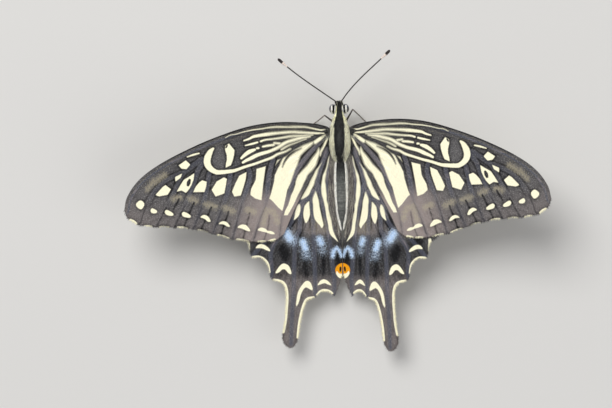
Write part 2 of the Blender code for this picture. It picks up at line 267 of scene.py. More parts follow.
@dataclass(frozen=True)
class WingSet:
    """How one wing is held, and the gentle shape that it takes in the air.

    The wing turns and shifts only outside its base, tail_stretch lengthens the tail, and
    close draws the hindwing's rear inner edge in towards the middle.
    """

    side: Side
    dihedral: float
    turn: float = 0.0
    shift: Pair = (0.0, 0.0)
    tail_stretch: float = 0.0
    drop: float = 0.0
    base_half: float = 2.6
    span: float = 44.0
    arch: float = 0.9
    camber: float = 0.4
    camber_reach: float = 12.0
    camber_start: float = 4.0
    fade: float = 6.0
    tail: Pair = (34.0, 44.6)
    close: float = 0.0
    close_across: Pair = (0.6, -2.4)
    close_behind: Pair = (19.0, 26.0)

    def height(self, u: Array, v: Array) -> Array:
        """Height over the wing's plane: arched along the span and drooping behind."""
        across = u / self.span
        behind = (v - self.camber_start) / self.camber_reach
        return 4 * self.arch * across * (1 - across) - self.camber * (np.sqrt(1 + behind**2) - 1)

    def place(self, u: Array, v: Array, lift: Array | float = 0.0) -> Array:
        """Points of the wing, in metres of the world."""
        height = self.height(u, v) + lift - self.drop
        start, end = self.tail
        v = v + self.tail_stretch * np.clip((v - start) / (end - start), 0, 1)
        u = u - self.close * smoothstep(*self.close_across, u) * smoothstep(*self.close_behind, v)
        share = smoothstep(0.0, self.fade, u + self.base_half)
        turn = self.turn * share
        out = u * np.cos(turn) - v * np.sin(turn) + share * self.shift[0]
        back = u * np.sin(turn) + v * np.cos(turn) + share * self.shift[1]
        rise, run = sin(self.dihedral), cos(self.dihedral)
        x = self.side.value * (self.base_half + out * run - height * rise)
        return BODY.place(np.stack([x, back, out * rise + height * run], -1))

    def directions(self, flat: Array, aim: Array, level: Array | float, step: float) -> Array:
        """Unit directions in the world for directions in the wing's plane, over a small step."""
        ahead = flat + aim * step
        return unit(self.place(*ahead.T, level) - self.place(*flat.T, level))


# ---- mesh building


def to_object(name: str, mesh: Mesh) -> Object:
    """A new object of the scene from a mesh whose points are already in place."""
    made = bpy.data.objects.new(name, mesh)
    bpy.context.scene.collection.objects.link(made)
    return made


def mesh_of(bm: bmesh.types.BMesh, name: str) -> Mesh:
    """A smooth mesh from a bmesh, which is used up."""
    mesh = bpy.data.meshes.new(name)
    bm.to_mesh(mesh)
    bm.free()
    mesh.shade_smooth()
    return mesh


def read(items: bpy.types.bpy_prop_collection, name: str, size: int = 1,
         kind: type = np.float32) -> Array:
    """One property of every item of a mesh, one after the other.

    Args:
        items: The mesh's points, corners, faces or stored values.
        name: The property.
        size: How many numbers each item has.
        kind: The numbers' type.

    Returns:
        The numbers in one row.
    """
    flat = np.empty(len(items) * size, kind)
    items.foreach_get(name, flat)
    return flat


def points_of(mesh: Mesh) -> Array:
    """A mesh's points."""
    return read(mesh.vertices, "co", 3).reshape(-1, 3).astype(float)


def move_points(mesh: Mesh, points: Array) -> None:
    """Gives a mesh's points their new places."""
    mesh.vertices.foreach_set("co", points.astype(np.float32).ravel())
    mesh.update()


def set_values(mesh: Mesh, name: str, values: Array) -> None:
    """Stores one number for each point of a mesh."""
    made = mesh.attributes.get(name) or mesh.attributes.new(name, "FLOAT", "POINT")
    made.data.foreach_set("value", np.asarray(values, np.float32))


def set_map(mesh: Mesh, name: str, per_corner: Array) -> None:
    """Stores a flat map of a mesh's face corners."""
    made = mesh.uv_layers.get(name) or mesh.uv_layers.new(name=name)
    made.data.foreach_set("uv", per_corner.astype(np.float32).ravel())


def face_up(mesh: Mesh) -> Mesh:
    """The same flat mesh, turned over if it faces down."""
    if mesh.polygons[0].normal.z < 0:
        mesh.flip_normals()
    return mesh


def corner_points(mesh: Mesh) -> Array:
    """The point that each face corner uses."""
    return read(mesh.loops, "vertex_index", kind=np.int32)


def finish_piece(made: Object, nodes: list[str]) -> Object:
    """Fixes a piece to the model and hides the solids that it stands for."""
    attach(made, "root")
    if nodes:
        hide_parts(*nodes)
    made.data.calc_loop_triangles()
    LOG.info("%s: %d triangles", made.name, len(made.data.loop_triangles))
    return made


def dress(mesh: Mesh, finish: Material,
          nodes: list[str]) -> Object:
    """Makes a piece of a mesh whose points are in place."""
    mesh.materials.append(finish)
    return finish_piece(to_object(mesh.name, mesh), nodes)


def nearest_station(path: Array, points: Array) -> Array:
    """Which point of a path each given point is nearest to."""
    return np.array([np.argmin(np.sum((path - p) ** 2, axis=1)) for p in points])


def sweep(bm: bmesh.types.BMesh, path: Array, radii: Array, sides: int = 12,
          flat: float = 1.0) -> None:
    """Adds a round rod along a path by extruding a ring from station to station.

    Args:
        bm: The mesh that takes the rod.
        path: The stations' centres.
        radii: The radius at each station.
        sides: How many sides the rod has.
        flat: Height of the cross-section over its width.
    """
    path = [Vector(p) for p in path]
    tangents = [(b - a).normalized() for a, b in zip([path[0], *path[:-1]], [*path[1:], path[-1]])]
    tangents[0] = (path[1] - path[0]).normalized()
    turn = tangents[0].to_track_quat("Z", "Y").to_matrix()
    made = bmesh.ops.create_circle(bm, cap_ends=False, segments=sides, radius=1.0)
    ring = made["verts"]
    unit = [v.co.copy() for v in ring]
    edges = [e for e in bm.edges if e.verts[0] in ring and e.verts[1] in ring]
    first = edges
    for k, (centre, tangent, radius) in enumerate(zip(path, tangents, radii)):
        if k:
            turn = tangents[k - 1].rotation_difference(tangent).to_matrix() @ turn
            grown = bmesh.ops.extrude_edge_only(bm, edges=edges)["geom"]
            new = [g for g in grown if isinstance(g, bmesh.types.BMVert)]
            edges = [g for g in grown if isinstance(g, bmesh.types.BMEdge)
                     and g.verts[0] in new and g.verts[1] in new]
            nearest = {v: min(range(sides), key=lambda i, v=v: (v.co - ring[i].co).length_squared)
                       for v in new}
            ring = sorted(new, key=lambda v: nearest[v])
        for vert, place in zip(ring, unit):
            vert.co = centre + turn @ Vector((place.x * radius, place.y * radius * flat, 0.0))
    bmesh.ops.contextual_create(bm, geom=first)
    bmesh.ops.contextual_create(bm, geom=edges)
    bmesh.ops.recalc_face_normals(bm, faces=bm.faces)


# ---- shader graphs


@dataclass(frozen=True)
class Tint:
    """A colour given in ordinary screen values from 0 to 255."""

    red: float
    green: float
    blue: float

    @property
    def linear(self) -> tuple[float, float, float, float]:
        """The colour as shaders take it."""
        parts = [c / 255 for c in (self.red, self.green, self.blue)]
        done = [c / 12.92 if c <= 0.04045 else ((c + 0.055) / 1.055) ** 2.4 for c in parts]
        return (done[0], done[1], done[2], 1.0)


class Graph:
    """A shader being put together, with short ways to add its usual nodes."""

    def __init__(self, name: str, roughness: float, specular: float = 0.35,
                 sheen: float = 0.0) -> None:
        """Starts a material with one Principled shader.

        Args:
            name: The material's name.
            roughness: The shader's roughness.
            specular: The shader's specular level.
            sheen: The shader's sheen weight.
        """
        self.material = bpy.data.materials.new(name)
        self.material.use_nodes = True
        self.tree = self.material.node_tree
        self.shader = self.tree.nodes["Principled BSDF"]
        self.set("Roughness", roughness)
        self.set("Specular IOR Level", specular)
        self.set("Sheen Weight", sheen)

    def set(self, socket: str, value: float) -> None:
        """Sets one of the shader's own sockets."""
        self.shader.inputs[socket].default_value = value

    def node(self, kind: str, inputs: dict[str | int, Number | tuple],
             **settings: str) -> bpy.types.Node:
        """Adds a node.

        Args:
            kind: The node's type.
            inputs: The values of its inputs, or the outputs that feed them.
            **settings: The node's own choices.

        Returns:
            The node.
        """
        made = self.tree.nodes.new(kind)
        for key, value in settings.items():
            setattr(made, key, value)
        for key, value in inputs.items():
            if isinstance(value, Socket):
                self.tree.links.new(value, made.inputs[key])
            else:
                made.inputs[key].default_value = value
        return made

    def value(self, name: str) -> Socket:
        """A number stored at each point."""
        return self.node("ShaderNodeAttribute", {}, attribute_name=name).outputs["Fac"]

    def plan(self, name: str = "plan") -> Socket:
        """The piece's own flat coordinates, in millimetres."""
        return self.node("ShaderNodeUVMap", {}, uv_map=name).outputs["UV"]

    def space(self) -> Socket:
        """The object's own coordinates, in metres."""
        return self.node("ShaderNodeTexCoord", {}).outputs["Object"]

    def noise(self, vector: Socket, scale: float | Triple, detail: float = 2.0,
              roughness: float = 0.5) -> Socket:
        """Soft noise from 0 to 1, with one scale or one for each axis."""
        if isinstance(scale, tuple):
            vector = self.stretched(vector, scale)
            scale = 1.0
        return self.node("ShaderNodeTexNoise", {"Vector": vector, "Scale": scale, "Detail": detail,
                                                "Roughness": roughness}).outputs["Fac"]

    def stretched(self, vector: Socket, scale: Triple) -> Socket:
        """Coordinates stretched by a scale along each axis."""
        return self.node("ShaderNodeMapping", {"Vector": vector, "Scale": scale}).outputs["Vector"]

    def cells(self, vector: Socket, scale: float, output: str) -> Socket:
        """One output of a pattern of random cells."""
        made = self.node("ShaderNodeTexVoronoi", {"Vector": vector, "Scale": scale})
        return made.outputs[output]

    def math(self, operation: str, a: Number, b: Number, c: Number = 0.0) -> Socket:
        """One arithmetic step."""
        return self.node("ShaderNodeMath", {0: a, 1: b, 2: c}, operation=operation).outputs[0]

    def plus(self, a: Number, b: Number) -> Socket:
        """A sum."""
        return self.math("ADD", a, b)

    def times(self, a: Number, b: Number) -> Socket:
        """A product."""
        return self.math("MULTIPLY", a, b)

    def line(self, x: Number, gain: Number, offset: Number) -> Socket:
        """A number times a gain, plus an offset."""
        return self.math("MULTIPLY_ADD", x, gain, offset)

    def step(self, x: Number, low: float, high: float) -> Socket:
        """A soft step from 0 at low to 1 at high."""
        made = self.node("ShaderNodeMapRange", {"Value": x, "From Min": low, "From Max": high},
                         interpolation_type="SMOOTHSTEP")
        return made.outputs["Result"]

    def mix(self, share: Number, a: Socket | Tint, b: Socket | Tint) -> Socket:
        """A blend of two colours."""
        ends = [end.linear if isinstance(end, Tint) else end for end in (a, b)]
        made = self.node("ShaderNodeMix", {0: share, 6: ends[0], 7: ends[1]}, data_type="RGBA")
        return made.outputs[2]

    def brighten(self, colour: Socket, by: Number) -> Socket:
        """A colour times a brightness."""
        made = self.node("ShaderNodeHueSaturation", {"Value": by, "Color": colour})
        return made.outputs["Color"]

    def colour(self, source: Socket) -> None:
        """Gives the shader its colour."""
        self.tree.links.new(source, self.shader.inputs["Base Color"])

    def rough(self, source: Socket) -> None:
        """Gives the shader a roughness that changes over the surface."""
        self.tree.links.new(source, self.shader.inputs["Roughness"])

    def bump(self, height: Socket, depth_mm: float, strength: float) -> None:
        """Gives the shader a fine relief."""
        made = self.node("ShaderNodeBump", {"Height": height, "Distance": depth_mm * MM,
                                            "Strength": strength})
        self.tree.links.new(made.outputs["Normal"], self.shader.inputs["Normal"])


# ---- finishes


class ScalePattern:
    """The random patterns that break up a wing's colours, shared by the steps of its finish."""

    def __init__(self, g: Graph) -> None:
        """Adds the patterns to a shader."""
        plan, ray = g.plan(), g.plan("ray")
        self.brushed = g.value("brushed")
        self.grain = g.noise(plan, 8.0, 3.0, 0.65)
        self.cloud = g.noise(plan, (4.6, 1.9, 1.0), 4.0, 0.7)
        self.specks = g.noise(plan, (3.6, 5.2, 1.0), 2.0, 0.75)
        self.dots = g.noise(plan, (4.6, 3.0, 1.0), 3.0, 0.7)
        self.rows = g.noise(plan, (14.0, 5.0, 1.0))
        self.brush = g.noise(ray, (2.6, 0.22, 1.0), 3.0, 0.6)
        self.hairs = g.noise(ray, (7.0, 0.35, 1.0), 2.0, 0.6)
        scales = g.cells(g.stretched(plan, (9.0, 16.0, 1.0)), 1.0, "Color")
        self.own = g.node("ShaderNodeSeparateColor", {"Color": scales}).outputs[0]
        self.uneven = g.line(self.grain, 0.3, -0.15)
        swept = g.times(g.line(self.brush, 0.6, -0.3), self.brushed)
        self.ragged = g.plus(self.uneven, swept)


@dataclass(frozen=True)
class WingFinish:
    """Overlapping dusty scales, coloured by the marks stored at each point."""

    name: str
    ground: Tint = Tint(86, 84, 85)
    deep: Tint = Tint(16, 15, 17)
    warm: Tint = Tint(148, 135, 130)
    vein: Tint = Tint(74, 77, 90)
    haze: Tint = Tint(142, 133, 137)
    powder: Tint = Tint(186, 184, 178)
    cream: Tint = Tint(255, 249, 216)
    dusty: Tint = Tint(180, 170, 144)
    blue: Tint = Tint(148, 192, 242)
    frost: Tint = Tint(220, 234, 248)
    orange: Tint = Tint(240, 158, 12)
    widen: float = 0.0
    vein_line: float = 0.12
    vein_dark: float = 0.12

    def make(self) -> Material:
        """Builds the material."""
        g = Graph(self.name, roughness=0.68, specular=0.16, sheen=0.03)
        pattern = ScalePattern(g)
        colour = self.blue_dust(g, pattern, self.dusted_ground(g, pattern))
        light = self.light(g, pattern)
        colour = self.dark_marks(g, pattern, g.mix(light, colour, self.cream))
        g.colour(g.brighten(colour, self.shade(g, pattern, light)))
        g.rough(g.line(pattern.own, 0.2, 0.58))
        g.bump(g.line(pattern.own, 0.4, pattern.rows), 0.02, 0.5)
        return g.material

    def dusted_ground(self, g: Graph, pattern: ScalePattern) -> Socket:
        """The dark ground, with vein veils, a painted sheen by the front edge, loose powder and
        cream dust.
        """
        colour = g.mix(g.step(g.value("warm"), 0.0, 1.0), self.ground, self.warm)
        streaky = g.line(pattern.hairs, 0.7, -0.35)
        blotchy = g.line(pattern.cloud, 0.7, -0.35)
        dark = g.step(g.plus(g.value("black"), g.plus(streaky, blotchy)), 0.1, 1.0)
        colour = g.mix(dark, colour, self.deep)
        near_vein = g.step(g.plus(g.value("stripe"), pattern.ragged), 0.66, 0.2)
        lit = g.plus(g.times(pattern.brush, 0.5), g.times(pattern.hairs, 0.5))
        lit = g.line(pattern.brushed, 0.13, lit)
        veil = g.mix(g.step(lit, 0.52, 0.68), self.vein, self.haze)
        # Veil tints along the veins, and on the forewing the painted sheen band by the front edge.
        colour = g.mix(g.times(near_vein, g.value("veiling")), colour, veil)
        loose = g.times(g.step(pattern.specks, 0.5, 0.68), g.line(dark, -0.6, 0.6))
        colour = g.mix(loose, colour, self.powder)
        speck = g.step(g.line(pattern.cloud, 1.7, g.value("dust")), 1.1, 1.75)
        return g.mix(g.times(speck, 0.62), colour, self.dusty)

    def blue_dust(self, g: Graph, pattern: ScalePattern, colour: Socket) -> Socket:
        """The ground with blue and frosty scales, thickest in the middle of each blue mark."""
        sky = g.line(pattern.dots, 1.7, g.value("blue"))
        frosty = g.step(g.line(pattern.specks, 0.6, pattern.dots), 0.62, 0.95)
        azure = g.mix(frosty, self.blue, self.frost)
        return g.mix(g.times(g.step(sky, 0.98, 1.8), 0.95), colour, azure)

    def light(self, g: Graph, pattern: ScalePattern) -> Socket:
        """How far each point is covered by cream scales."""
        edge = g.plus(g.value("cream"), g.plus(pattern.ragged, self.widen))
        softness = g.line(pattern.brushed, 0.22, 0.09)
        light = g.step(g.math("DIVIDE", edge, softness), -1.0, 1.0)
        gaps = g.times(g.step(pattern.hairs, 0.56, 0.72), pattern.brushed)
        return g.times(light, g.line(gaps, -0.3, 1.0))

    def dark_marks(self, g: Graph, pattern: ScalePattern, colour: Socket) -> Socket:
        """The colour with the orange spot, its black pupil and the line along each vein."""
        for name, tint in (("orange", self.orange), ("pupil", self.deep)):
            inside = g.step(g.plus(g.value(name), pattern.uneven), -0.05, 0.05)
            colour = g.mix(inside, colour, tint)
        line = g.times(g.step(g.value("stripe"), self.vein_line, 0.03), self.vein_dark)
        return g.mix(line, colour, self.deep)

    def shade(self, g: Graph, pattern: ScalePattern, light: Socket) -> Socket:
        """The brightness of each scale: mottled on the ground and more even on the cream."""
        shade = g.line(pattern.grain, 0.3, g.line(pattern.own, 0.16, 0.77))
        strokes = g.line(pattern.brush, -1.5, 0.75)
        mottle = g.line(strokes, pattern.brushed, g.line(pattern.specks, -0.7, 1.35))
        return g.times(shade, g.math("MAXIMUM", mottle, light))


@dataclass(frozen=True)
class HairFinish:
    """Fine hair and body scales: black, pale or ashen where the marks say so."""

    name: str
    black: Tint = Tint(22, 22, 24)
    pale: Tint = Tint(255, 253, 244)
    gold: Tint = Tint(255, 252, 208)
    ash: Tint = Tint(134, 135, 130)

    def make(self) -> Material:
        """Builds the material."""
        g = Graph(self.name, roughness=0.75, specular=0.1, sheen=0.04)
        space = g.space()
        clump = g.noise(space, 1400.0, 3.0)
        strands = g.noise(space, (3300.0, 600.0, 3300.0), 3.0, 0.7)
        # The ash share gives grey hair, and on the thorax's back it also gives a painted sheen
        # highlight.
        colour = g.mix(g.value("ash"), self.black, self.ash)
        light = g.mix(g.value("gold"), self.pale, self.gold)
        soft = g.plus(g.value("pale"), g.line(clump, 0.5, -0.25))
        colour = g.mix(g.step(soft, 0.3, 0.7), colour, light)
        shade = g.line(clump, 0.2, g.line(strands, 1.7, 0.14))
        g.colour(g.brighten(colour, shade))
        g.bump(strands, 0.02, 0.6)
        return g.material


@dataclass(frozen=True)
class CuticleFinish:
    """Hard skin of legs and feelers, ringed and scaled, from dark to pale."""

    name: str
    dark: Tint = Tint(38, 34, 34)
    light: Tint = Tint(205, 190, 170)
    roughness: float = 0.45

    def make(self) -> Material:
        """Builds the material."""
        g = Graph(self.name, roughness=self.roughness, specular=0.4)
        mottle = g.noise(g.space(), 3000.0, 3.0)
        joint = g.value("ringed")
        pale = g.step(g.line(mottle, 0.4, g.value("pale")), 0.35, 0.85)
        colour = g.mix(g.times(joint, 0.5), g.mix(pale, self.dark, self.light), self.dark)
        g.colour(g.brighten(colour, g.line(mottle, 0.5, 0.75)))
        g.rough(g.line(mottle, 0.3, self.roughness - 0.1))
        g.bump(g.math("SUBTRACT", mottle, joint), 0.02, 0.6)
        return g.material


@dataclass(frozen=True)
class EyeFinish:
    """A dark compound eye: thousands of facets under a clear gloss, and a painted pale-blue
    reflection.
    """

    name: str
    dark: Tint = Tint(14, 14, 22)
    smoky: Tint = Tint(88, 94, 120)

    def make(self) -> Material:
        """Builds the material."""
        g = Graph(self.name, roughness=0.28, specular=0.4)
        g.set("Coat Weight", 0.3)
        g.set("Coat Roughness", 0.08)
        space = g.space()
        facets = g.cells(space, 24000.0, "Distance")
        cloud = g.noise(space, 900.0, 3.0)
        # Painted reflection: where the stored pale share is high, the dark eye is blended towards a
        # lighter blue-grey that stands in for the sky's reflection.
        veil = g.times(g.value("pale"), g.line(cloud, 0.6, 0.6))
        colour = g.mix(veil, self.dark, self.smoky)
        g.colour(g.brighten(colour, g.line(facets, -0.5, 1.15)))
        g.bump(facets, 0.006, 0.5)
        return g.material


@dataclass(frozen=True)
class FloorFinish:
    """A plain pale studio floor."""

    name: str = "studio_floor"
    tone: Tint = Tint(214, 212, 208)
    cloud: Tint = Tint(235, 233, 229)

    def make(self) -> Material:
        """Builds the material."""
        g = Graph(self.name, roughness=0.9, specular=0.1)
        share = g.times(g.noise(g.space(), 3.0), 0.06)
        g.colour(g.mix(share, self.tone, self.cloud))
        return g.material


# ---- wing plans


@dataclass
class WingPlan:
    """A flat wing: its outline, its marks and the grid that carries them."""

    costa: list[Pair]
    termen: Array
    inner: list[Pair]
    rows: int
    map_scale: Pair
    map_side: Pair
    map_margin: float = 0.015

    def flat_mesh(self, name: str) -> Mesh:
        """Builds the grid between the four edges.

        Args:
            name: The mesh's name.

        Returns:
            A flat mesh whose x and y are u and v in millimetres.
        """
        columns = len(self.termen) - 1
        bm = bmesh.new()
        bmesh.ops.create_grid(bm, x_segments=columns, y_segments=self.rows, size=0.5)
        mesh = mesh_of(bm, name)
        grid = points_of(mesh)
        s, t = grid[:, 0] + 0.5, grid[:, 1] + 0.5
        ramp = (np.linspace(0, 1, self.rows + 1) ** 4)[:, None]
        front, back = spline(self.costa, self.rows), spline(self.inner, self.rows)
        front = front + ramp * (self.termen[0] - front[-1])
        back = back + ramp * (self.termen[-1] - back[-1])
        column = np.rint(s * columns).astype(int)
        row = np.rint(t * self.rows).astype(int)
        s, t = s[:, None], t[:, None]
        root = front[0] * (1 - s) + back[0] * s
        straight = root * (1 - t) + (self.termen[0] * (1 - s) + self.termen[-1] * s) * t
        flat = root * (1 - t) + self.termen[column] * t
        flat = flat + front[row] * (1 - s) + back[row] * s - straight
        move_points(mesh, np.column_stack([flat, np.zeros(len(flat))]))
        return face_up(mesh)

    def unwrap(self, mesh: Mesh) -> None:
        """Gives a flat mesh its two maps: plain millimetres, and the bake's own."""
        flat = points_of(mesh)[corner_points(mesh), :2]
        set_map(mesh, "plan", flat)
        set_map(mesh, "ray", rays(flat))
        set_map(mesh, "OFBake", self.to_map(flat))

    def to_map(self, flat: Array) -> Array:
        """Where a flat point lies on the bake's map, on the upper surface."""
        edges = np.vstack([self.costa, self.inner, self.termen])
        return self.map_margin + (flat - edges.min(0)) * self.map_scale


@dataclass
class Membrane:
    """One wing in place: a thin veined sheet whose two faces have their own looks."""

    name: str
    nodes: list[str]
    pose: WingSet
    plan: WingPlan
    lift: float
    thickness: float = 0.1
    relief: float = 0.17
    pleat: float = 0.05
    pleat_reach: float = 1.2
    vein_half: float = 0.16

    def build(self, flat: Mesh, upper: Material,
              under: Material) -> Object:
        """Puts the flat wing in place and gives it its thickness.

        Args:
            flat: The flat wing with its maps and stored marks.
            upper: The finish of the upper face.
            under: The finish of the under face.

        Returns:
            The finished wing.
        """
        mesh = flat.copy()
        mesh.name = self.name
        points = points_of(mesh)
        vein = read(mesh.attributes["vein"].data, "value")
        sag = self.pleat * np.clip(vein / self.pleat_reach, 0, 1)
        move_points(mesh, self.pose.place(points[:, 0], points[:, 1], self.lift - sag))
        if self.pose.side is Side.RIGHT:
            mesh.flip_normals()
        for finish in (upper, under):
            mesh.materials.append(finish)
        made = to_object(self.name, mesh)
        weights = np.round(hump(vein, 0.0, self.vein_half), 2)
        group = made.vertex_groups.new(name="relief")
        for level in np.unique(weights):
            group.add(np.flatnonzero(weights == level).tolist(), float(level), "REPLACE")
        solid = made.modifiers.new("thickness", "SOLIDIFY")
        solid.thickness = self.relief * MM
        solid.offset = 0.0
        solid.vertex_group = group.name
        solid.thickness_vertex_group = self.thickness / self.relief
        solid.material_offset = 1
        solid.use_quality_normals = True
        self.apply(made)
        return finish_piece(made, self.nodes)

    def apply(self, made: Object) -> None:
        """Keeps the modifier's result, with the under face on its own part of the map."""
        bpy.context.view_layer.update()
        graph = bpy.context.evaluated_depsgraph_get()
        solid = bpy.data.meshes.new_from_object(made.evaluated_get(graph),
                                                preserve_all_data_layers=True, depsgraph=graph)
        made.modifiers.clear()
        old, made.data = made.data, solid
        bpy.data.meshes.remove(old)
        made.vertex_groups.clear()
        solid.name = self.name
        face = read(solid.polygons, "material_index", kind=np.int32)
        total = read(solid.polygons, "loop_total", kind=np.int32)
        uv = read(solid.uv_layers["OFBake"].data, "uv", 2).reshape(-1, 2)
        uv[np.repeat(face == 1, total)] += self.plan.map_side
        set_map(solid, "OFBake", uv)
        solid.shade_smooth()


class ForewingMarks:
    """The forewing's edges, veins and marks."""

    COSTA = [(-0.7, -0.6), (0.4, -1.15), (3.5, -1.75), (9.7, -2.1), (16.0, -1.4), (22.3, 0.45),
             (28.6, 2.95), (34.9, 6.1), (39.2, 9.2), (41.7, 12.6), (42.4, 15.4)]
    TERMEN = [(42.4, 15.4), (41.4, 17.5), (38.2, 18.9), (31.0, 19.4), (25.8, 20.3),
              (20.6, 21.9), (14.5, 22.7), (11.2, 22.3), (9.4, 21.0)]
    INNER = [(-0.7, 1.4), (0.5, 3.2), (2.9, 8.2), (5.05, 12.1), (7.2, 16.2), (9.4, 21.0)]
    VEIN_ENDS = [10.4, 16.0, 20.3, 24.4, 28.3, 32.3, 36.0, 39.3, 42.4]
    COLUMNS = 200
    ROWS = 235
    INSET = 0.12
    SCALLOP = 0.16
    CELLS = [
        Patch([(29.5, 5.4), (28.6, 6.3), (29.4, 7.2), (30.4, 7.1), (31.0, 6.4)]),
        Patch([(30.3, 8.1), (30.7, 9.0), (31.7, 9.7), (31.8, 8.8)]),
        Patch([(27.8, 8.1), (28.0, 9.4), (28.4, 10.4), (28.9, 11.3), (29.6, 12.1), (30.5, 11.6),
               (31.5, 11.8), (30.6, 10.3), (30.0, 9.4), (28.9, 8.8)]),
        Patch([(33.8, 10.4), (32.7, 11.3), (33.4, 12.4), (35.2, 12.7), (35.9, 12.4), (34.4, 10.8)]),
        Patch([(26.2, 9.6), (25.3, 9.9), (25.4, 10.8), (25.8, 12.0), (28.1, 12.0), (27.6, 10.9),
               (26.8, 10.0)]),
        Patch([(21.7, 9.1), (21.1, 9.4), (21.3, 10.5), (21.7, 12.4), (23.5, 13.0), (24.3, 11.6),
               (23.2, 9.9)]),
        Patch([(17.0, 8.1), (17.2, 9.6), (17.7, 11.2), (18.3, 12.9), (19.6, 13.1), (20.1, 12.1),
               (19.3, 10.3), (18.5, 8.8)]),
        Patch([(13.0, 7.0), (13.3, 8.8), (13.6, 10.7), (13.8, 12.3), (14.0, 14.0), (15.3, 13.6),
               (16.3, 12.8), (16.1, 11.6), (15.1, 9.7), (14.9, 7.5)]),
        Patch([(20.5, 2.1), (19.4, 3.5), (19.5, 4.5), (19.8, 5.6), (20.2, 6.6), (21.3, 7.1),
               (21.2, 6.2), (21.0, 5.5), (21.0, 4.5), (21.3, 3.5), (21.3, 2.6)]),
    ]
    WEDGES = [
        Patch([(3.0, 2.1), (5.1, 2.9), (6.9, 3.8), (8.6, 5.0), (10.5, 5.8), (10.9, 6.8),
               (11.0, 8.1), (11.3, 10.2), (12.0, 12.7), (12.4, 13.7), (11.9, 14.0), (10.6, 15.5),
               (9.7, 16.3), (9.1, 14.1), (8.6, 12.0), (8.1, 11.0), (6.9, 7.9), (6.4, 6.9),
               (6.1, 5.9), (5.6, 4.8), (4.6, 3.8), (3.0, 2.5)]),
        Patch([(1.8, 3.4), (2.3, 4.4), (3.0, 5.2), (4.3, 7.0), (5.3, 8.0), (6.3, 9.0), (6.7, 10.0),
               (6.9, 11.0), (7.3, 12.1), (7.8, 13.1), (8.1, 14.1), (8.5, 15.2), (9.1, 16.2),
               (9.4, 17.2), (8.6, 17.2), (8.0, 16.2), (7.4, 15.2), (6.9, 14.2), (6.4, 13.1),
               (5.8, 12.1), (5.3, 11.1), (4.8, 10.1), (4.3, 9.0), (3.3, 8.0), (2.5, 7.0),
               (2.0, 5.6), (1.6, 4.3)]),
    ]
    RING_CENTRE = Patch([(21.6, 3.0), (23.3, 3.3), (24.0, 5.6), (23.0, 7.3), (21.6, 7.2)])
    NOTCHES = [
        Streak([(5.46, 2.57), (7.14, 3.36), (8.83, 4.57), (10.11, 6.2), (10.97, 7.63),
                (11.41, 8.66), (11.82, 10.0)], (0.14, 0.26, 0.3, 0.42, 0.85, 0.8, 0.1)),
        Streak([(5.48, 3.4), (7.58, 4.39), (8.86, 5.81), (9.51, 7.25)], (0.3, 0.6, 0.5, 0.2)),
        Streak([(28.8, 9.5), (29.0, 10.0), (29.15, 10.5)], (0.55, 0.8, 0.6)),
        Streak([(20.9, 2.5), (21.1, 2.9)], (0.35,)),
    ]
    LINES = [
        Streak([(0.4, -0.4), (1.4, -0.3), (4.1, -0.9), (5.6, -1.0), (10.8, -1.1), (13.6, -0.8),
                (15.4, -0.6), (17.5, -0.2), (18.9, 0.2), (20.2, 0.4), (21.2, 0.9)],
               (0.28, 0.3, 0.24, 0.16)),
        Streak([(26.7, 4.0), (28.0, 4.3), (29.2, 4.7)], (0.3, 0.42, 0.25)),
        Streak([(0.6, 0.4), (3.0, 0.3), (5.6, 0.1), (7.7, 0.0), (10.8, 0.2), (12.9, 0.4),
                (13.6, 0.5), (15.4, 0.8), (16.2, 1.2), (17.4, 1.6)],
               (0.3, 0.45, 0.48, 0.48, 0.5, 0.7, 0.6, 0.3)),
        Streak([(3.0, 0.7), (5.6, 0.8), (7.7, 0.9), (10.8, 1.3), (12.9, 1.5), (13.9, 1.8)],
               (0.2, 0.32, 0.4, 0.34, 0.42)),
        Streak([(14.6, 2.0), (15.8, 2.3), (17.1, 2.6)], (0.42, 0.45, 0.25)),
        Streak([(10.0, 2.3), (11.1, 2.2)], (0.4,)),
        Streak([(11.2, 2.6), (12.3, 2.7), (13.5, 2.9)], (0.45, 0.5, 0.4)),
        Streak([(14.4, 3.2), (14.7, 3.2)], (0.45,)),
        Streak([(15.2, 3.5), (16.3, 3.9), (17.2, 4.5), (18.0, 5.2)], (0.55, 0.85, 0.75, 0.5)),
        Streak([(3.6, 1.0), (5.6, 1.3), (6.8, 1.6), (8.6, 2.1), (10.3, 3.1), (12.1, 3.9),
                (13.2, 4.2), (14.6, 4.6), (15.9, 5.2), (17.0, 5.7), (17.7, 6.1)],
               (0.3, 0.55, 0.6, 0.66, 0.62, 0.75, 0.8, 0.5)),
        Streak([(4.4, 1.5), (6.4, 2.2), (8.2, 2.8), (9.6, 3.6)], (0.12, 0.16, 0.2, 0.3)),
        Streak([(7.8, 3.5), (8.8, 4.0), (10.4, 4.5), (11.7, 5.2), (13.7, 5.9), (15.5, 6.5),
                (17.3, 7.0), (19.4, 7.7), (20.8, 7.9), (22.1, 8.0), (23.2, 8.0)],
               (0.3, 0.5, 0.52, 0.52, 0.55, 0.6, 0.8, 0.95)),
        Streak([(23.2, 8.0), (24.1, 7.5), (24.8, 6.8), (25.1, 5.9), (25.0, 5.0), (24.7, 4.3),
                (24.3, 3.6), (23.8, 3.1)], (0.95, 1.1, 1.3, 1.45, 1.4, 1.1, 0.5)),
        Streak([(0.4, 0.8), (1.2, 1.3), (2.5, 2.2)], (0.45, 0.75, 0.75)),
        Streak([(-0.2, 1.3), (0.3, 2.2), (0.7, 3.1), (1.3, 4.1), (1.5, 5.0)], (0.3, 0.5, 0.5, 0.3)),
    ]
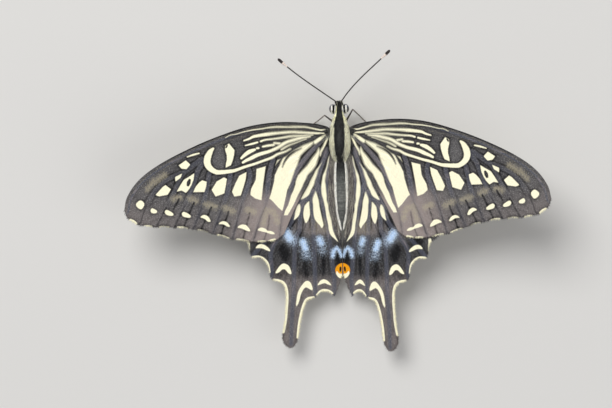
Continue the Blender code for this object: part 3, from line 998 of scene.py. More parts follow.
    SPOTS = [
        Patch([(40.0, 14.2), (39.0, 13.4), (38.2, 14.2), (38.8, 15.3), (39.6, 15.0)]),
        Patch([(37.0, 15.5), (36.6, 15.1), (35.6, 15.7), (35.9, 16.2), (36.8, 16.1)]),
        Patch([(34.1, 15.9), (33.6, 15.5), (32.3, 16.3), (32.5, 16.8), (33.7, 16.6)]),
        Patch([(30.6, 16.3), (30.0, 16.0), (28.7, 16.8), (29.0, 17.3), (30.3, 17.0)]),
        Patch([(26.8, 17.2), (26.0, 16.7), (25.1, 17.1), (24.6, 18.1), (25.2, 18.2), (25.9, 17.6)]),
        Patch([(23.1, 18.7), (22.2, 18.1), (21.2, 18.4), (20.6, 19.3), (21.2, 19.3), (22.1, 18.8)]),
        Patch([(19.2, 19.5), (18.3, 18.9), (17.2, 19.1), (16.4, 20.3), (17.1, 20.3), (18.2, 19.8)]),
        Patch([(15.0, 20.1), (14.3, 19.6), (13.4, 19.8), (12.8, 20.3), (12.0, 20.4), (11.3, 21.0),
               (12.1, 21.1), (13.2, 20.7), (14.4, 20.4)]),
    ]
    MARGIN = [((41.2, 17.5), (40.1, 18.2)), ((38.2, 18.9), (36.9, 19.1)),
              ((35.1, 19.2), (33.4, 19.3)), ((31.4, 19.3), (29.6, 19.6)),
              ((27.2, 20.0), (25.5, 20.5)), ((23.3, 21.1), (21.1, 21.8)),
              ((19.2, 22.1), (17.0, 22.6)), ((14.8, 22.7), (13.3, 22.7)),
              ((12.6, 22.6), (11.4, 22.3))]
    DUSTY = [((32.2, 13.3), (31.0, 13.1), 1.0), ((28.8, 13.3), (27.7, 13.8), 1.0),
             ((25.5, 14.6), (23.7, 15.1), 1.0), ((21.6, 15.4), (20.1, 16.1), 1.1),
             ((16.9, 15.9), (15.7, 16.3), 1.1), ((13.7, 19.0), (13.2, 16.9), 0.8),
             ((12.9, 16.1), (11.6, 16.4), 0.9), ((11.4, 16.7), (10.8, 18.6), 0.8),
             ((36.5, 10.0), (33.9, 8.3), 0.9), ((37.6, 11.3), (36.1, 9.4), 0.7)]
    VEINS = [
        [(26.5, 5.4), (29.9, 7.8), (33.9, 9.6), (37.2, 13.4), (39.3, 18.4)],
        [(25.9, 5.2), (29.9, 7.8), (32.0, 11.9), (36.0, 19.2)],
        [(26.0, 6.0), (27.2, 7.9), (28.9, 12.6), (32.3, 19.4)],
        [(24.7, 8.2), (25.2, 10.6), (25.9, 13.7), (28.3, 19.7)],
        [(20.3, 8.4), (20.7, 10.4), (21.4, 13.4), (24.4, 21.0)],
        [(16.6, 7.3), (16.3, 9.1), (17.0, 11.6), (17.9, 14.0), (18.5, 16.0), (20.3, 22.1)],
        [(11.4, 5.6), (12.3, 8.7), (12.7, 11.7), (13.2, 15.1), (14.4, 18.0), (16.0, 22.7)],
        [(0.2, 0.9), (3.2, 3.9), (5.6, 6.6), (7.1, 9.2), (7.9, 12.0), (9.1, 15.6), (10.0, 18.4),
         (10.4, 21.9)],
    ]
    RIBS = [
        [(0.0, -0.8), (6.0, -1.4), (12.0, -1.4), (18.0, -0.4), (25.0, 1.9), (33.0, 5.6),
         (39.0, 9.6)],
        [(0.2, 0.0), (6.0, -0.4), (12.0, -0.2), (18.6, 1.0), (23.0, 2.4), (29.0, 4.3),
         (35.0, 7.6)],
        [(0.2, 0.7), (4.0, 1.7), (8.6, 3.1), (13.0, 5.2), (17.6, 6.5), (22.4, 8.6), (24.6, 8.1),
         (25.9, 6.4), (25.6, 4.6), (24.4, 3.0)],
    ]
    FOLDS = [[(31.1, 13.4), (32.3, 15.5)], [(28.0, 14.2), (28.9, 16.1), (30.2, 19.2)],
             [(24.4, 15.2), (25.2, 16.8), (26.7, 19.8)], [(20.9, 16.2), (21.6, 18.2), (22.6, 21.0)],
             [(16.5, 16.6), (17.2, 19.0), (18.1, 22.2)], [(12.4, 17.2), (12.8, 19.8), (13.7, 22.4)]]

    def plan(self) -> WingPlan:
        """Puts the edges together, scalloped a little between the veins' ends."""
        path = spline(self.TERMEN, self.COLUMNS)
        phase = np.interp(path[:, 0], self.VEIN_ENDS, np.arange(len(self.VEIN_ENDS)))
        inset = self.INSET + self.SCALLOP * np.sin(pi * phase) ** 2
        inset = inset * np.sin(pi * np.linspace(0, 1, len(path))) ** 0.3
        path = path + normals_of(path) * inset[:, None]
        return WingPlan(self.COSTA, path, self.INNER, self.ROWS, (0.0222, 0.0188), (0.0, 0.5))

    def values(self, p: Array) -> dict[str, Array]:
        """The numbers that the finish reads at each point.

        Args:
            p: The points, in the wing's plane.

        Returns:
            One array for each stored name.
        """
        u, v = p[:, 0], p[:, 1]
        cream, stripe = self.cream(p), distance(self.VEINS, p)
        costal = Streak(self.COSTA[1:], (0.5,)).field(p)
        fold = union([Streak(path, (0.3,)) for path in self.FOLDS], p)
        tornus = smoothstep(24.0, 9.0, u) * smoothstep(11.5, 16.5, v + 0.12 * u)
        upper = smoothstep(9.0, 3.0, v - 0.2 * u)
        outer = smoothstep(13.0, 22.0, v + 0.25 * np.maximum(u - 24, 0))
        # Black along the folds, round the cream marks, beside the veins and on the front edge.
        black = 0.3 + 0.2 * upper - 0.3 * tornus + 0.5 * smoothstep(-0.25, 0.2, fold)
        black += 0.25 * smoothstep(-0.7, -0.1, cream) * (1 - tornus)
        black += 0.3 * hump(stripe, 0.66, 0.18) * smoothstep(17.0, 12.0, v)
        black += 0.3 * smoothstep(0.3, 0.05, stripe) * smoothstep(13.0, 16.0, v)
        black += 0.45 * smoothstep(-0.2, 0.25, costal) * smoothstep(38.0, 30.0, u)
        black += 0.1 * outer - 0.12 * smoothstep(30.0, 42.0, u)
        black -= 0.2 * smoothstep(-0.3, 0.3, self.RING_CENTRE.field(p))
        # A dusty veil lies along the veins, and a painted sheen lies as a lighter blue-grey rim
        # inside the front edge.
        rim = hump(-costal, 0.6, 0.42) * smoothstep(10.0, 18.0, u)
        veiling = 0.8 - 0.55 * smoothstep(11.0, 15.5, v) - 0.3 * upper
        veiling = np.maximum(veiling - 0.2 * smoothstep(26.0, 33.0, u), 0.85 * rim)
        out, none = np.hypot(u, v), np.full(len(p), -1.0)
        # Near the front edge the stripe is lowered, so that the painted sheen rim takes the veil's
        # tints.
        return {"cream": cream, "vein": np.minimum(stripe, distance(self.RIBS, p)),
                "stripe": np.minimum(stripe, 1.0 - 0.75 * rim),
                "dust": self.dust(p, costal, fold), "black": black,
                "warm": np.clip(0.1 + 0.9 * tornus + 0.3 * outer, 0, 1),
                "brushed": smoothstep(17.0, 7.0, out) * smoothstep(0.5, 5.0, out),
                "veiling": np.clip(veiling, 0, 1), "blue": none, "orange": none, "pupil": none}

    def cream(self, p: Array) -> Array:
        """How far each point lies inside the cream marks."""
        cells = [Patch(mark.outline, trim=0.0, smooth=False) for mark in self.CELLS + self.WEDGES]
        cream = np.maximum(union(cells, p), union(self.SPOTS, p) + 0.07)
        cream = np.maximum(cream, union(self.LINES, p) - 0.02)
        cream = np.minimum(cream, -union(self.NOTCHES, p))
        edge = [Streak([a, b], (0.6, 0.8, 0.6)) for a, b in self.MARGIN]
        return np.maximum(cream, union(edge, p))

    def dust(self, p: Array, costal: Array, fold: Array) -> Array:
        """How much cream dust lies at each point.

        Args:
            p: The points, in the wing's plane.
            costal: How far each lies inside the front edge's band.
            fold: How far each lies inside the folds between the veins.

        Returns:
            A share for each point.
        """
        dust = np.zeros(len(p))
        for start, end, width in self.DUSTY:
            inside = Streak([start, end], (width,)).field(p)
            dust = np.maximum(dust, 0.7 * smoothstep(-1.2, 0.45, inside))
        dust *= 1 - 0.8 * smoothstep(-0.15, 0.1, fold)
        shelf = hump(-costal, 0.42, 0.2) * smoothstep(2.0, 12.0, p[:, 0])
        ribs = hump(distance(self.RIBS[:2], p), 0.0, 0.13) * smoothstep(1.0, 8.0, p[:, 0])
        return np.maximum(dust, np.maximum(0.4 * shelf, 0.42 * ribs))


class HindwingMarks:
    """The hindwing's edges, tail, veins and marks."""

    COSTA = [(-1.0, 1.0), (0.6, 1.9), (4.0, 4.6), (9.5, 9.5), (14.2, 14.8), (17.6, 19.0),
             (19.0, 21.3)]
    OUTER = [(19.0, 21.3), (17.1, 22.6), (16.7, 24.4), (16.2, 25.8), (14.4, 26.0), (13.1, 27.3),
             (12.7, 28.8), (12.3, 30.2), (11.4, 30.85), (10.4, 31.15), (9.75, 31.75), (9.42, 32.7)]
    ANAL = [(4.75, 35.0), (3.64, 34.62), (2.58, 33.95), (1.88, 33.43), (1.18, 33.27),
            (0.32, 33.43), (-0.36, 33.8), (-1.0, 34.3), (-1.85, 32.3), (-2.75, 29.9)]
    INNER = [(-1.0, 5.4), (-1.1, 8.0), (-1.05, 12.0), (-1.1, 15.5), (-1.4, 17.7),
             (-2.0, 20.0), (-2.65, 21.8), (-2.8, 25.5), (-2.75, 29.9)]
    OUTER_COLUMNS = 118
    BRIDGE_COLUMNS = 22
    ANAL_COLUMNS = 58
    ROWS = 205
    TAIL_ROWS = 66
    TIP_BOW = 0.08
    EDGE_STEPS = 900
    FRINGE_START = 0.14
    EDGE_GROWTH = 0.15
    TAIL_GROWTH = 0.12
    TAIL_OUTER = [(9.42, 32.7), (9.33, 33.8), (9.4, 35.5), (9.52, 36.9), (9.66, 38.6),
                  (9.88, 40.0), (10.15, 41.3), (10.26, 42.2), (10.15, 43.2), (9.75, 44.05),
                  (9.15, 44.6), (8.6, 44.8)]
    TAIL_INNER = [(4.75, 35.0), (5.2, 35.8), (5.7, 37.2), (6.07, 38.6), (6.35, 40.0),
                  (6.55, 41.3), (6.75, 42.6), (7.08, 43.5), (7.55, 44.25), (8.05, 44.68),
                  (8.5, 44.82)]
    STREAKS = [
        Patch([(1.0, 6.2), (1.7, 7.0), (2.6, 8.0), (3.2, 9.1), (3.8, 10.1), (4.2, 11.1),
               (4.8, 12.1), (5.5, 13.2), (5.9, 14.0), (5.3, 14.0), (4.0, 13.2), (3.5, 12.2),
               (2.9, 11.1), (2.6, 10.1), (2.2, 9.1), (1.9, 8.0), (1.4, 7.0)]),
        Patch([(-0.5, 4.9), (-0.1, 5.6), (0.2, 7.0), (0.6, 8.1), (1.1, 9.1), (1.3, 10.1),
               (1.5, 11.2), (1.5, 12.2), (1.4, 13.2), (1.1, 14.3), (0.9, 15.3), (0.7, 16.4),
               (0.6, 17.4), (0.4, 18.5), (0.2, 19.5), (0.1, 20.5), (-0.3, 21.6), (-1.3, 22.6),
               (-2.0, 23.2), (-1.9, 22.7), (-1.4, 21.6), (-1.0, 20.6), (-0.8, 19.5),
               (-0.7, 18.5), (-0.5, 17.4), (-0.2, 16.4), (-0.1, 15.4), (0.2, 14.3), (0.2, 13.3),
               (0.3, 12.2), (0.4, 11.2), (0.5, 10.2), (0.3, 9.1), (0.1, 8.1), (-0.2, 7.1),
               (-0.5, 5.6)]),
        Patch([(2.6, 12.2), (3.1, 13.2), (3.4, 14.2), (3.3, 15.3), (3.3, 16.3), (3.2, 17.4),
               (2.9, 18.4), (2.0, 19.5), (1.5, 20.2), (1.0, 19.5), (1.2, 18.4), (1.4, 17.4),
               (1.6, 16.4), (1.8, 15.3), (1.9, 14.3), (2.2, 13.2)]),
        Patch([(4.0, 14.3), (5.0, 15.2), (5.3, 16.3), (5.4, 17.3), (5.2, 18.3), (4.8, 19.1),
               (4.2, 18.4), (3.8, 17.3), (3.8, 16.3), (3.9, 15.3)]),
        Patch([(6.1, 14.8), (6.6, 15.2), (7.0, 16.2), (7.2, 17.3), (7.4, 18.3), (6.7, 18.0),
               (6.1, 17.3), (5.8, 16.3), (5.8, 15.2)]),
    ]
    HIDDEN_PALE = [
        Patch([(7.0, 11.5), (9.6, 13.8), (11.2, 16.4), (10.8, 18.2), (9.2, 17.2), (7.4, 14.2)]),
        Patch([(10.4, 12.6), (13.2, 15.6), (15.0, 18.6), (14.0, 19.6), (12.2, 17.2), (10.6, 14.4)]),
    ]
    LUNULES = [
        Patch([(15.3, 23.8), (14.7, 23.2), (13.8, 23.2), (12.9, 23.8), (12.4, 24.5), (13.1, 24.3),
               (14.0, 23.9), (14.8, 23.8)]),
        Patch([(11.3, 29.1), (10.7, 28.1), (9.8, 27.3), (8.8, 27.6), (8.3, 28.4), (8.1, 29.4),
               (8.7, 29.1), (9.3, 28.4), (10.0, 28.4), (10.6, 28.9)]),
        Patch([(7.1, 36.1), (7.0, 34.7), (6.6, 33.1), (5.8, 31.8), (4.9, 31.0), (4.1, 31.4),
               (3.7, 32.8), (4.4, 32.5), (5.0, 32.2), (5.6, 32.6), (6.2, 33.7), (6.6, 35.1)]),
        Patch([(2.6, 31.9), (2.1, 31.1), (1.3, 30.7), (0.4, 31.1), (-0.3, 32.0), (0.4, 31.8),
               (1.1, 31.5), (1.9, 31.7)]),
    ]
    FRINGE = [
        Streak([(16.9, 21.9), (17.0, 22.8), (16.9, 24.3)], (0.35, 0.55, 0.35)),
        Streak([(16.0, 25.8), (14.8, 25.8), (13.7, 26.4), (13.0, 27.4), (12.7, 28.9)],
               (0.35, 0.5, 0.5, 0.3)),
        Streak([(11.7, 30.6), (10.5, 30.9), (9.65, 31.5), (9.24, 32.6), (9.14, 33.8), (9.2, 35.5),
                (9.33, 36.9), (9.48, 38.6), (9.7, 40.0), (9.98, 41.4)],
               (0.3, 0.5, 0.5, 0.5, 0.48, 0.45, 0.4, 0.3)),
        Streak([(3.5, 34.45), (4.7, 34.75), (5.38, 35.7), (5.88, 37.15), (6.25, 38.6), (6.54, 40.0),
                (6.74, 41.3), (6.94, 42.6)], (0.3, 0.5, 0.5, 0.5, 0.48, 0.45, 0.3)),
        Streak([(2.7, 33.9), (1.9, 33.25), (1.18, 33.08), (0.3, 33.25), (-0.4, 33.65)],
               (0.25, 0.45, 0.45, 0.45, 0.25)),
    ]
    BLUE = [
        ((8.9, 20.9), (8.2, 22.0), 1.7, 1.0), ((8.6, 21.3), (7.6, 22.5), 2.6, 0.5),
        ((5.5, 22.8), (5.0, 24.2), 1.4, 1.0), ((5.3, 23.3), (4.8, 25.6), 2.3, 0.48),
        ((4.2, 25.2), (3.8, 26.6), 0.9, 0.36), ((2.0, 22.4), (1.65, 23.2), 1.5, 0.9),
        ((1.8, 22.8), (1.4, 24.7), 2.3, 0.42), ((-0.7, 25.9), (-0.9, 24.9), 0.9, 1.0),
        ((-0.95, 24.8), (-1.6, 24.3), 0.8, 1.0), ((-1.6, 24.3), (-2.15, 24.9), 0.7, 1.0),
        ((-2.15, 24.9), (-2.55, 26.0), 0.6, 1.0),
    ]
    BLACK = [((9.5, 24.2), (9.3, 25.6), 2.2), ((5.1, 26.6), (5.05, 29.4), 1.2),
             ((1.3, 25.9), (1.3, 29.2), 1.1), ((-1.8, 26.0), (-1.9, 27.2), 1.7),
             ((13.4, 20.6), (14.2, 22.4), 2.6), ((7.9, 18.6), (8.1, 19.4), 0.8),
             ((6.2, 21.2), (6.0, 22.6), 0.6)]
    DUSK = [Streak([(5.2, 25.0), (5.3, 27.4)], (1.0,)), Streak([(1.4, 24.4), (1.6, 26.0)], (0.9,))]
    SPOT = Patch([(-3.0, 27.75), (-2.4, 27.5), (-1.6, 27.95), (-1.2, 28.8), (-1.5, 29.7),
                  (-2.2, 30.3), (-3.0, 30.5)])
    SPOT_CREAM = Patch([(-3.0, 29.6), (-2.1, 29.5), (-1.5, 28.9), (-1.3, 29.6), (-2.0, 30.5),
                        (-3.0, 30.7)])
    SLIT = Streak([(-2.85, 28.2), (-2.78, 29.2)], (0.1, 0.3, 0.2))
    PUPIL = Streak([(-2.3, 28.35), (-2.25, 29.05)], (0.4, 0.46, 0.34))
    VEINS = [
        [(2.3, 10.9), (1.8, 11.8), (1.4, 14.3), (0.8, 17.0), (0.3, 19.7), (-0.1, 22.6),
         (-0.4, 25.5), (-0.9, 30.5), (-0.9, 33.8)],
        [(3.2, 12.2), (3.4, 13.6), (3.5, 15.9), (3.3, 18.0), (3.2, 23.8), (3.1, 27.9), (3.1, 33.7)],
        [(4.7, 13.4), (5.3, 14.8), (5.9, 17.3), (6.2, 20.4), (7.0, 22.0), (7.4, 27.0), (7.6, 32.0),
         (8.0, 37.0), (8.3, 41.9), (8.4, 44.0)],
        [(5.7, 14.2), (6.6, 15.6), (7.9, 18.7), (12.0, 24.0), (12.1, 28.6), (12.3, 29.8)],
        [(5.9, 13.6), (8.1, 16.2), (12.3, 21.3), (16.2, 25.6)],
        [(2.4, 12.3), (3.4, 13.2), (4.7, 14.2), (5.9, 14.6)],
        [(0.2, 4.4), (1.6, 8.0), (2.3, 10.9), (2.6, 12.4)],
        [(0.2, 3.6), (3.6, 7.0), (6.4, 11.0), (6.0, 14.4)],
        [(3.6, 6.6), (9.0, 12.0), (14.5, 18.0), (18.6, 21.2)],
        [(-0.4, 6.5), (0.0, 10.0), (-0.1, 13.0), (-0.7, 17.0), (-1.3, 20.5)],
    ]

    def plan(self) -> WingPlan:
        """Puts the edges together, with the tail's root as part of the outer edge."""
        outer = spline(self.OUTER, self.OUTER_COLUMNS)
        anal = spline(self.ANAL, self.ANAL_COLUMNS)
        outer = outer + normals_of(outer) * self.EDGE_GROWTH
        anal = anal + normals_of(anal) * self.EDGE_GROWTH
        share = np.linspace(0, 1, self.BRIDGE_COLUMNS + 1)[1:-1, None]
        bridge = outer[-1] * (1 - share) + anal[0] * share
        edge = np.vstack([outer, bridge, anal])
        return WingPlan(self.COSTA, edge, self.INNER, self.ROWS, (0.0215, 0.0224), (0.5, 0.0))

    def tail_mesh(self, plan: WingPlan, name: str) -> Mesh:
        """The tail: rows of points between its two edges, from the wing out to the tip."""
        bm = bmesh.new()
        bmesh.ops.create_grid(bm, x_segments=self.BRIDGE_COLUMNS, y_segments=self.TAIL_ROWS,
                              size=0.5)
        mesh = mesh_of(bm, name)
        grid = points_of(mesh)
        row = np.rint((grid[:, 1] + 0.5) * self.TAIL_ROWS).astype(int)
        column = np.rint((grid[:, 0] + 0.5) * self.BRIDGE_COLUMNS).astype(int)
        share = (column / self.BRIDGE_COLUMNS)[:, None]
        outer = spline(self.TAIL_OUTER, self.TAIL_ROWS)
        inner = spline(self.TAIL_INNER, self.TAIL_ROWS)
        outer = outer + normals_of(outer) * self.TAIL_GROWTH
        inner = inner - normals_of(inner) * self.TAIL_GROWTH
        flat = outer[row] * (1 - share) + inner[row] * share
        start = self.OUTER_COLUMNS
        root = plan.termen[start:start + self.BRIDGE_COLUMNS + 1]
        settle = smoothstep(0.0, 0.25, row / self.TAIL_ROWS)[:, None]
        drift = root[column] - (outer[0] * (1 - share) + inner[0] * share)
        flat = flat + drift * (1 - settle)
        across = np.linalg.norm(outer - inner, axis=1)[row]
        bow = np.sin(pi * share[:, 0]) * self.TIP_BOW * across
        bow *= smoothstep(0.55, 1.0, row / self.TAIL_ROWS)
        flat[:, 1] += bow
        move_points(mesh, np.column_stack([flat, np.zeros(len(flat))]))
        return face_up(mesh)

    def flat_mesh(self, plan: WingPlan, name: str) -> Mesh:
        """The wing's grid with its tail joined on."""
        bm = bmesh.new()
        for part in (plan.flat_mesh(name), self.tail_mesh(plan, name + "_tail")):
            bm.from_mesh(part)
            bpy.data.meshes.remove(part)
        bmesh.ops.remove_doubles(bm, verts=bm.verts, dist=0.002)
        return mesh_of(bm, name)

    def whole_edge(self) -> Array:
        """The outer edge with the tail's, from the front corner to the inner one."""
        tail = self.TAIL_OUTER[1:] + self.TAIL_INNER[::-1][:-1]
        edge = spline(self.OUTER + tail + self.ANAL, self.EDGE_STEPS)
        return edge + normals_of(edge) * self.FRINGE_START

    def values(self, p: Array) -> dict[str, Array]:
        """The numbers that the finish reads at each point.

        Args:
            p: The points, in the wing's plane.

        Returns:
            One array for each stored name.
        """
        u, v = p[:, 0], p[:, 1]
        vein = distance(self.VEINS, p)
        orange = np.minimum(self.SPOT.field(p) + 0.14, -self.SPOT_CREAM.field(p))
        # Warm brown outside the band of lunules and above the blue marks.
        margin = smoothstep(28.0, 31.5, v + 0.35 * np.maximum(u - 4, 0))
        above = smoothstep(22.5, 20.5, v) * smoothstep(16.0, 19.0, v)
        inner = smoothstep(6.0, 3.0, u)
        return {"cream": self.cream(p), "vein": vein, "stripe": vein,
                "dust": self.dust(p, (0.05 + 0.4 * inner) * above),
                "black": self.black(p, vein) + 0.04 * margin,
                "warm": (0.35 + 0.25 * inner) * above + 0.5 * margin,
                "brushed": 0.5 * smoothstep(22.0, 8.0, v),
                "veiling": 0.8 - 0.1 * smoothstep(17.0, 22.0, v), "blue": self.blue(p),
                "orange": np.minimum(orange, -self.SLIT.field(p)), "pupil": self.PUPIL.field(p)}

    def cream(self, p: Array) -> Array:
        """How far each point lies inside the cream marks, each set grown by a little."""
        cream = self.SLIT.field(p)
        for marks, growth in ((self.STREAKS + self.HIDDEN_PALE, 0.0), (self.LUNULES[:3], 0.18),
                              (self.LUNULES[3:], 0.12), (self.FRINGE, 0.14),
                              ([self.SPOT_CREAM], 0.1)):
            cream = np.maximum(cream, union(marks, p) + growth)
        return cream

    def blue(self, p: Array) -> Array:
        """How thickly blue scales lie at each point: wide marks fade over a longer way."""
        blue = np.zeros(len(p))
        for start, end, width, strength in self.BLUE:
            soft = 0.3 + 0.42 * width
            inside = Streak([start, end], (width,)).field(p)
            blue = np.maximum(blue, strength * smoothstep(-soft, soft, inside))
        return blue

    def black(self, p: Array, vein: Array) -> Array:
        """How black the ground is: a dark band, blotches between the veins, and dark vein sides."""
        v = p[:, 1]
        band = smoothstep(21.0, 24.0, v) * smoothstep(32.0, 28.0, v)
        black = 0.4 + 0.28 * band
        for start, end, width in self.BLACK:
            inside = Streak([start, end], (width,)).field(p)
            black = np.maximum(black, 0.3 + 0.8 * smoothstep(-1.5, 1.3, inside))
        return black + 0.42 * hump(vein, 0.64, 0.2) * smoothstep(23.0, 18.0, v)

    def dust(self, p: Array, above: Array) -> Array:
        """How much cream dust lies at each point, given what lies above the blue marks."""
        below_blue = 0.16 * smoothstep(-0.6, 0.3, union(self.DUSK, p))
        fold = smoothstep(0.2, -0.5, p[:, 0]) * smoothstep(22.0, 19.0, p[:, 1])
        return np.maximum(np.maximum(below_blue, above), 0.14 * fold)


# ---- tufts


@dataclass
class TuftBed:
    """Many thin tufts joined into one mesh, each with its own patch of the bake's map."""

    name: str
    slot: Slot = Slot.HAIR
    segments: int = 2
    patch: float = 0.003
    tip: float = 0.25
    thickness: float = 0.6
    curl: float = 1.6

    def pattern(self) -> tuple[Array, Array]:
        """One tuft: a three-sided spindle that runs from 0 to 1 along x.

        Returns:
            Its points, and the three points of each of its faces.
        """
        bm = bmesh.new()
        bmesh.ops.create_cone(bm, cap_ends=True, segments=3, radius1=1.0, radius2=self.tip,
                              depth=1.0, matrix=Matrix.Translation((0.0, 0.0, 0.5)))
        if self.segments > 1:
            side = [e for e in bm.edges if abs(e.verts[0].co.z - e.verts[1].co.z) > 0.5]
            bmesh.ops.subdivide_edges(bm, edges=side, cuts=self.segments - 1,
                                      use_grid_fill=False)
        bmesh.ops.triangulate(bm, faces=bm.faces)
        bmesh.ops.recalc_face_normals(bm, faces=bm.faces)
        bm.verts.index_update()
        points = np.array([(v.co.z, v.co.x, v.co.y) for v in bm.verts])
        faces = np.array([[v.index for v in f.verts] for f in bm.faces])
        bm.free()
        return points, faces

    def build(self, roots: Array, lay: Array, up: Array, length: Array, width: Array,
              lift: Array, at: Array, values: dict[str, Array], finish: Material) -> Object:
        """Grows the tufts.

        Args:
            roots: Where each tuft starts, in metres.
            lay: The unit direction that it lies in.
            up: The unit normal of the skin below it.
            length: Its length, in millimetres.
            width: Half its width at the root, in millimetres.
            lift: How far its tip stands off, as a share of its length.
            at: Its root's place on the bake's map.
            values: Numbers stored on all its points.
            finish: The material.

        Returns:
            The joined piece.
        """
        points, faces = self.pattern()
        count, size = len(roots), len(points)
        along, across, thick = points.T[:, None, :, None]
        side = np.cross(up, lay)[:, None]
        lay, up = lay[:, None], up[:, None]
        length, width = length[:, None, None] * MM, width[:, None, None] * MM
        bow = lift[:, None, None] * along**self.curl
        placed = (roots[:, None] + lay * length * along + side * width * across
                  + up * (width * self.thickness * thick + length * bow))
        corners = (faces.ravel()[None] + (np.arange(count) * size)[:, None]).astype(np.int32)
        mesh = bpy.data.meshes.new(self.name)
        mesh.vertices.add(count * size)
        mesh.loops.add(corners.size)
        mesh.polygons.add(corners.size // 3)
        mesh.vertices.foreach_set("co", placed.astype(np.float32).ravel())
        mesh.loops.foreach_set("vertex_index", corners.ravel())
        mesh.polygons.foreach_set("loop_start", np.arange(0, corners.size, 3, dtype=np.int32))
        mesh.update(calc_edges=True)
        mesh.shade_smooth()
        for name, value in values.items():
            set_values(mesh, name, np.repeat(value, size))
        local = points[:, :2] * (1.0, 0.5) + (0.0, 0.5)
        spread = (at[:, None] + local[None] * self.patch).reshape(-1, 2)
        set_map(mesh, "OFBake", spread[corners.ravel()])
        return dress(mesh, finish, [])


@dataclass
class WingFringe:
    """The fringe of long scales on a wing's outer edge."""

    name: str
    pose: WingSet
    plan: WingPlan
    lift: float
    seed: int
    per_mm: float = 26.0
    length: Pair = (0.3, 0.5)
    width: Pair = (0.025, 0.045)
    lift_off: Pair = (-0.1, 0.1)
    sunk: Pair = (0.05, 0.3)
    spread: float = 0.12
    reach: float = 0.12
    step: float = 0.2

    def build(self, edge: Array, marks: ForewingMarks | HindwingMarks, finish: Material) -> Object:
        """Grows the fringe outwards along an edge.

        Args:
            edge: The edge's path in the wing's plane, with the wing on its left.
            marks: What gives each root its colours.
            finish: The wing's own finish.

        Returns:
            The joined fringe.
        """
        chance = np.random.default_rng(self.seed)
        reached = lengths(edge)
        count = int(reached[-1] * self.per_mm)
        where = np.sort(chance.uniform(0, reached[-1], count))
        out = along_path(where, reached, -normals_of(edge))
        root = along_path(where, reached, edge)
        root = root - out * chance.uniform(*self.sunk, count)[:, None]
        out = unit(out + chance.normal(0, self.spread, (count, 2)))
        level = self.lift + chance.uniform(-0.04, 0.04, count)
        lay = self.pose.directions(root, out, level, self.step)
        beside = np.stack([-out[:, 1], out[:, 0]], -1)
        up = unit(np.cross(lay, self.pose.directions(root, beside, level, self.step)))
        up *= np.sign(up[:, 2:3])
        bed = TuftBed(self.name, slot=Slot.WING, segments=1)
        made = bed.build(self.pose.place(*root.T, level), lay, up,
                         chance.uniform(*self.length, count), chance.uniform(*self.width, count),
                         chance.uniform(*self.lift_off, count), self.plan.to_map(root),
                         marks.values(root + out * self.reach), finish)
        flat = np.repeat(root, len(bed.pattern()[0]), axis=0)
        set_map(made.data, "plan", flat[corner_points(made.data)])
        return made


# ---- body


@dataclass
class TorsoShape:
    """The body's skin from face to tail end, as a family of oval rings."""

    stations: list[tuple[float, float, float, float]] = field(default_factory=lambda: [
        (-5.62, 0.10, -0.35, -0.75), (-5.5, 0.42, 0.05, -1.1), (-5.2, 0.66, 0.38, -1.45),
        (-4.7, 0.78, 0.55, -1.62), (-4.2, 0.84, 0.56, -1.6), (-3.7, 0.86, 0.5, -1.48),
        (-3.2, 1.0, 0.66, -1.52), (-2.8, 1.22, 0.95, -1.7), (-2.35, 1.38, 1.15, -1.85),
        (-1.9, 1.5, 1.4, -2.1), (-1.2, 1.78, 1.78, -2.5), (0.2, 2.0, 2.2, -2.95),
        (2.4, 2.13, 2.48, -3.22), (4.4, 1.9, 2.0, -3.12), (5.6, 1.36, 1.2, -2.85),
        (6.3, 1.16, 0.72, -2.72), (7.2, 1.3, 0.74, -2.93), (8.6, 1.42, 0.82, -3.05),
        (12.0, 1.48, 0.66, -3.07), (15.0, 1.32, 0.28, -2.78), (17.6, 1.04, -0.1, -2.28),
        (19.4, 0.66, -0.42, -1.8), (20.4, 0.32, -0.68, -1.38), (20.68, 0.06, -0.95, -1.1)])
    segments: tuple[float, ...] = (6.5, 8.3, 10.2, 12.1, 14.0, 15.8, 17.5, 19.0)
    crease: float = 0.05
    turns: int = 96
    rings: int = 280
    map_margin: float = 0.01
    map_size: float = 0.975

    def __post_init__(self) -> None:
        """Works out the smooth sections once."""
        path = spline(self.stations, 600)
        self.y, self.half, self.top, self.low = path.T

    def surface(self, y: Array, turn: Array) -> Array:
        """Points of the skin, in the body's frame; turn 0 is the left side and pi/2 the top."""
        half, top, low = (np.interp(y, self.y, part) for part in (self.half, self.top, self.low))
        groove = sum(hump(y, at, 0.12) for at in self.segments)
        half = half - self.crease * groove * np.minimum(half, 1)
        middle, reach = (top + low) / 2, (top - low) / 2 - self.crease * groove
        return np.stack([half * np.cos(turn), y, middle + reach * np.sin(turn)], -1)

    def normals(self, y: Array, turn: Array) -> Array:
        """Unit normals of the skin, in the body's frame."""
        step = 0.01
        back = self.surface(y + step, turn) - self.surface(y - step, turn)
        around = self.surface(y, turn + step) - self.surface(y, turn - step)
        out = unit(np.cross(back, around))
        centre = self.surface(y, turn + pi)
        inward = np.sum(out * (self.surface(y, turn) - centre), axis=1) < 0
        out[inward] *= -1
        return out

    def to_map(self, y: Array, turn: Array) -> Array:
        """Where a place on the skin lies on the bake's map: unrolled from the belly line."""
        around = np.mod(turn + pi / 2, 2 * pi) / (2 * pi)
        along = (y - self.y[0]) / (self.y[-1] - self.y[0])
        return self.map_margin + self.map_size * np.stack([around, along], -1)


